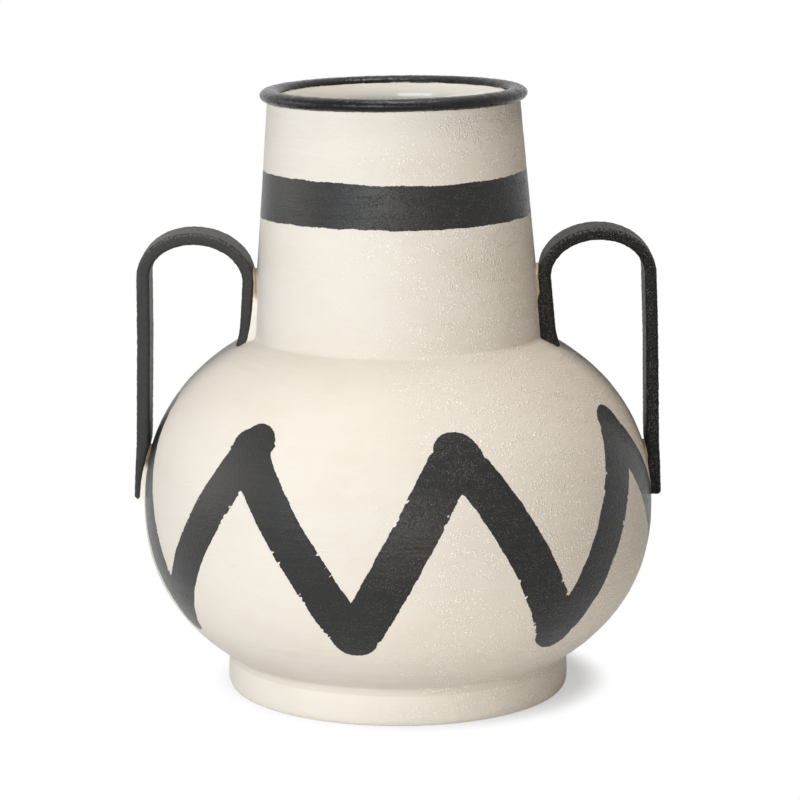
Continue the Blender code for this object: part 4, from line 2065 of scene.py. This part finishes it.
@dataclass
class Studio:
    """The pale floor, the soft lamps, the world and the camera."""

    lens: float = 146.8
    sensor: float = 36.0
    camera_place: Triple = (0.0016, -2.5, 0.706)
    tilt: float = math.radians(10.88)
    floor_size: float = 40.0
    floor_colour: Colour = (0.89, 0.91, 0.93)
    floor_rough: float = 0.9
    floor_gloss: float = 0.1
    shadow: Ramp = Ramp(0.130, 0.160, 0.48, 1.0)
    shadow_shift: Triple = (-0.012, -0.010, 0.0)
    ambient: Colour = (1.0, 0.68, 0.36)
    ambient_strength: float = 0.03
    lamps: tuple[Lamp, ...] = (
        Lamp("window_wide", (-0.454, -1.388, 0.71), (0.0, 0.0, 0.25), (0.60, 0.84), 9.5, DAYLIGHT),
        Lamp("window_narrow", (-0.909, -1.143, 0.71), (0.0, 0.0, 0.25), (0.291, 0.84), 4.65, DAYLIGHT),
        Lamp("left_wall", (-2.60, 0.00, 0.70), (0.0, 0.0, 0.20), (2.2, 1.4), 19.5, (1.0, 0.94, 0.88)),
        Lamp("overhead", (0.15, -0.05, 2.40), (0.15, 0.0, 0.20), (1.0, 1.0), 34.0, (1.0, 0.91, 0.80)),
        Lamp("low_card", (0.10, -2.50, 0.22), (0.0, 0.0, 0.06), (2.0, 0.4), 19.0, (1.0, 0.82, 0.62)),
    )

    def camera(self) -> None:
        """The camera at the photograph's place."""
        data = bpy.data.cameras.new("camera")
        data.lens = self.lens
        data.sensor_width = self.sensor
        data.sensor_fit = "HORIZONTAL"
        made = bpy.data.objects.new("camera", data)
        made.location = self.camera_place
        made.rotation_euler = Euler((math.pi / 2 - self.tilt, 0.0, 0.0))
        bpy.context.scene.collection.objects.link(made)
        bpy.context.scene.camera = made

    def seen(self, graph: Graph) -> Socket:
        """1 for rays that show the background: from the camera, in gloss and through glass.

        Args:
            graph: The shader tree to work in.

        Returns:
            The share.
        """
        path = graph.node("ShaderNodeLightPath")
        share = graph.math("MAXIMUM", path.outputs["Is Camera Ray"], path.outputs["Is Glossy Ray"])
        return graph.math("MAXIMUM", share, path.outputs["Is Transmission Ray"])

    def world(self) -> None:
        """A white background over a dim warm surround."""
        world = bpy.data.worlds.new("studio")
        world.use_nodes = True
        bpy.context.scene.world = world
        graph = Graph(world.node_tree)
        shade = world.node_tree.nodes["Background"]
        white = graph.node("ShaderNodeBackground")
        white.inputs["Color"].default_value = (1.0, 1.0, 1.0, 1.0)
        shade.inputs["Color"].default_value = (*self.ambient, 1.0)
        shade.inputs["Strength"].default_value = self.ambient_strength
        mixed = graph.node("ShaderNodeMixShader")
        graph.feed(mixed.inputs[0], self.seen(graph))
        graph.feed(mixed.inputs[1], shade.outputs[0])
        graph.feed(mixed.inputs[2], white.outputs[0])
        graph.feed(world.node_tree.nodes["World Output"].inputs["Surface"], mixed.outputs[0])

    def floor(self) -> None:
        """A wide white floor that holds the vase's shadow."""
        half = self.floor_size / 2
        corners = np.array([(-half, -half, 0.0), (half, -half, 0.0), (half, half, 0.0), (-half, half, 0.0)])
        made = mesh_object("studio_floor", corners, [(0, 1, 2, 3)])
        paint = bpy.data.materials.new("studio_floor")
        paint.use_nodes = True
        graph = Graph(paint.node_tree)
        shader = paint.node_tree.nodes["Principled BSDF"]
        shader.inputs["Base Color"].default_value = (*self.floor_colour, 1.0)
        shader.inputs["Roughness"].default_value = self.floor_rough
        shader.inputs["Specular IOR Level"].default_value = self.floor_gloss
        glow = graph.node("ShaderNodeEmission")
        glow.inputs["Color"].default_value = (1.0, 1.0, 1.0, 1.0)
        spot = graph.node("ShaderNodeTexCoord").outputs["Object"]
        length = graph.node("ShaderNodeVectorMath", operation="LENGTH")
        graph.feed(length.inputs[0], graph.vector_math("ADD", spot, self.shadow_shift))
        far = graph.ease(length.outputs["Value"], self.shadow)
        mixed = graph.node("ShaderNodeMixShader")
        graph.feed(mixed.inputs[0], graph.product(far, self.seen(graph)))
        graph.feed(mixed.inputs[1], shader.outputs[0])
        graph.feed(mixed.inputs[2], glow.outputs[0])
        graph.feed(paint.node_tree.nodes["Material Output"].inputs["Surface"], mixed.outputs[0])
        made.data.materials.append(paint)

    def build(self) -> None:
        """Sets up the studio."""
        bpy.context.scene.view_settings.view_transform = "Standard"
        self.camera()
        self.world()
        self.floor()
        for lamp in self.lamps:
            lamp.build()
        LOG.info("studio: camera, floor and %d lamps", len(self.lamps))


def main() -> None:
    """Builds the studio and dresses the vase from the foot up."""
    logging.basicConfig(level=logging.INFO, format="%(name)s: %(message)s")
    form, marks = ThrownForm(), ThrowingMarks()
    rim_marks = ThrowingMarks(wobble=0.30 * MM, ridge=0.0, lump=0.14 * MM, grit=0.30 * MM, seed=6.1)
    strap_marks = ThrowingMarks(wobble=0.35 * MM, ridge=0.05 * MM, lump=0.12 * MM, grit=0.30 * MM, seed=8.2)
    pattern = BrushedPattern(form)
    Studio().build()
    finishes = Finishes()
    for part in (
        Foot(form, marks),
        Belly(form, marks, pattern),
        Neck(form, marks, pattern),
        Rim(form, rim_marks),
        Lining(form, marks),
        Handle(form, strap_marks, Side.LEFT, LEFT_NECK_WIPE, LEFT_BELLY_WIPE),
        Handle(form, strap_marks, Side.RIGHT, RIGHT_NECK_WIPE, RIGHT_BELLY_WIPE, raised=4.0 * MM),
    ):
        part.build(finishes)


if __name__ == "__main__":
    main()
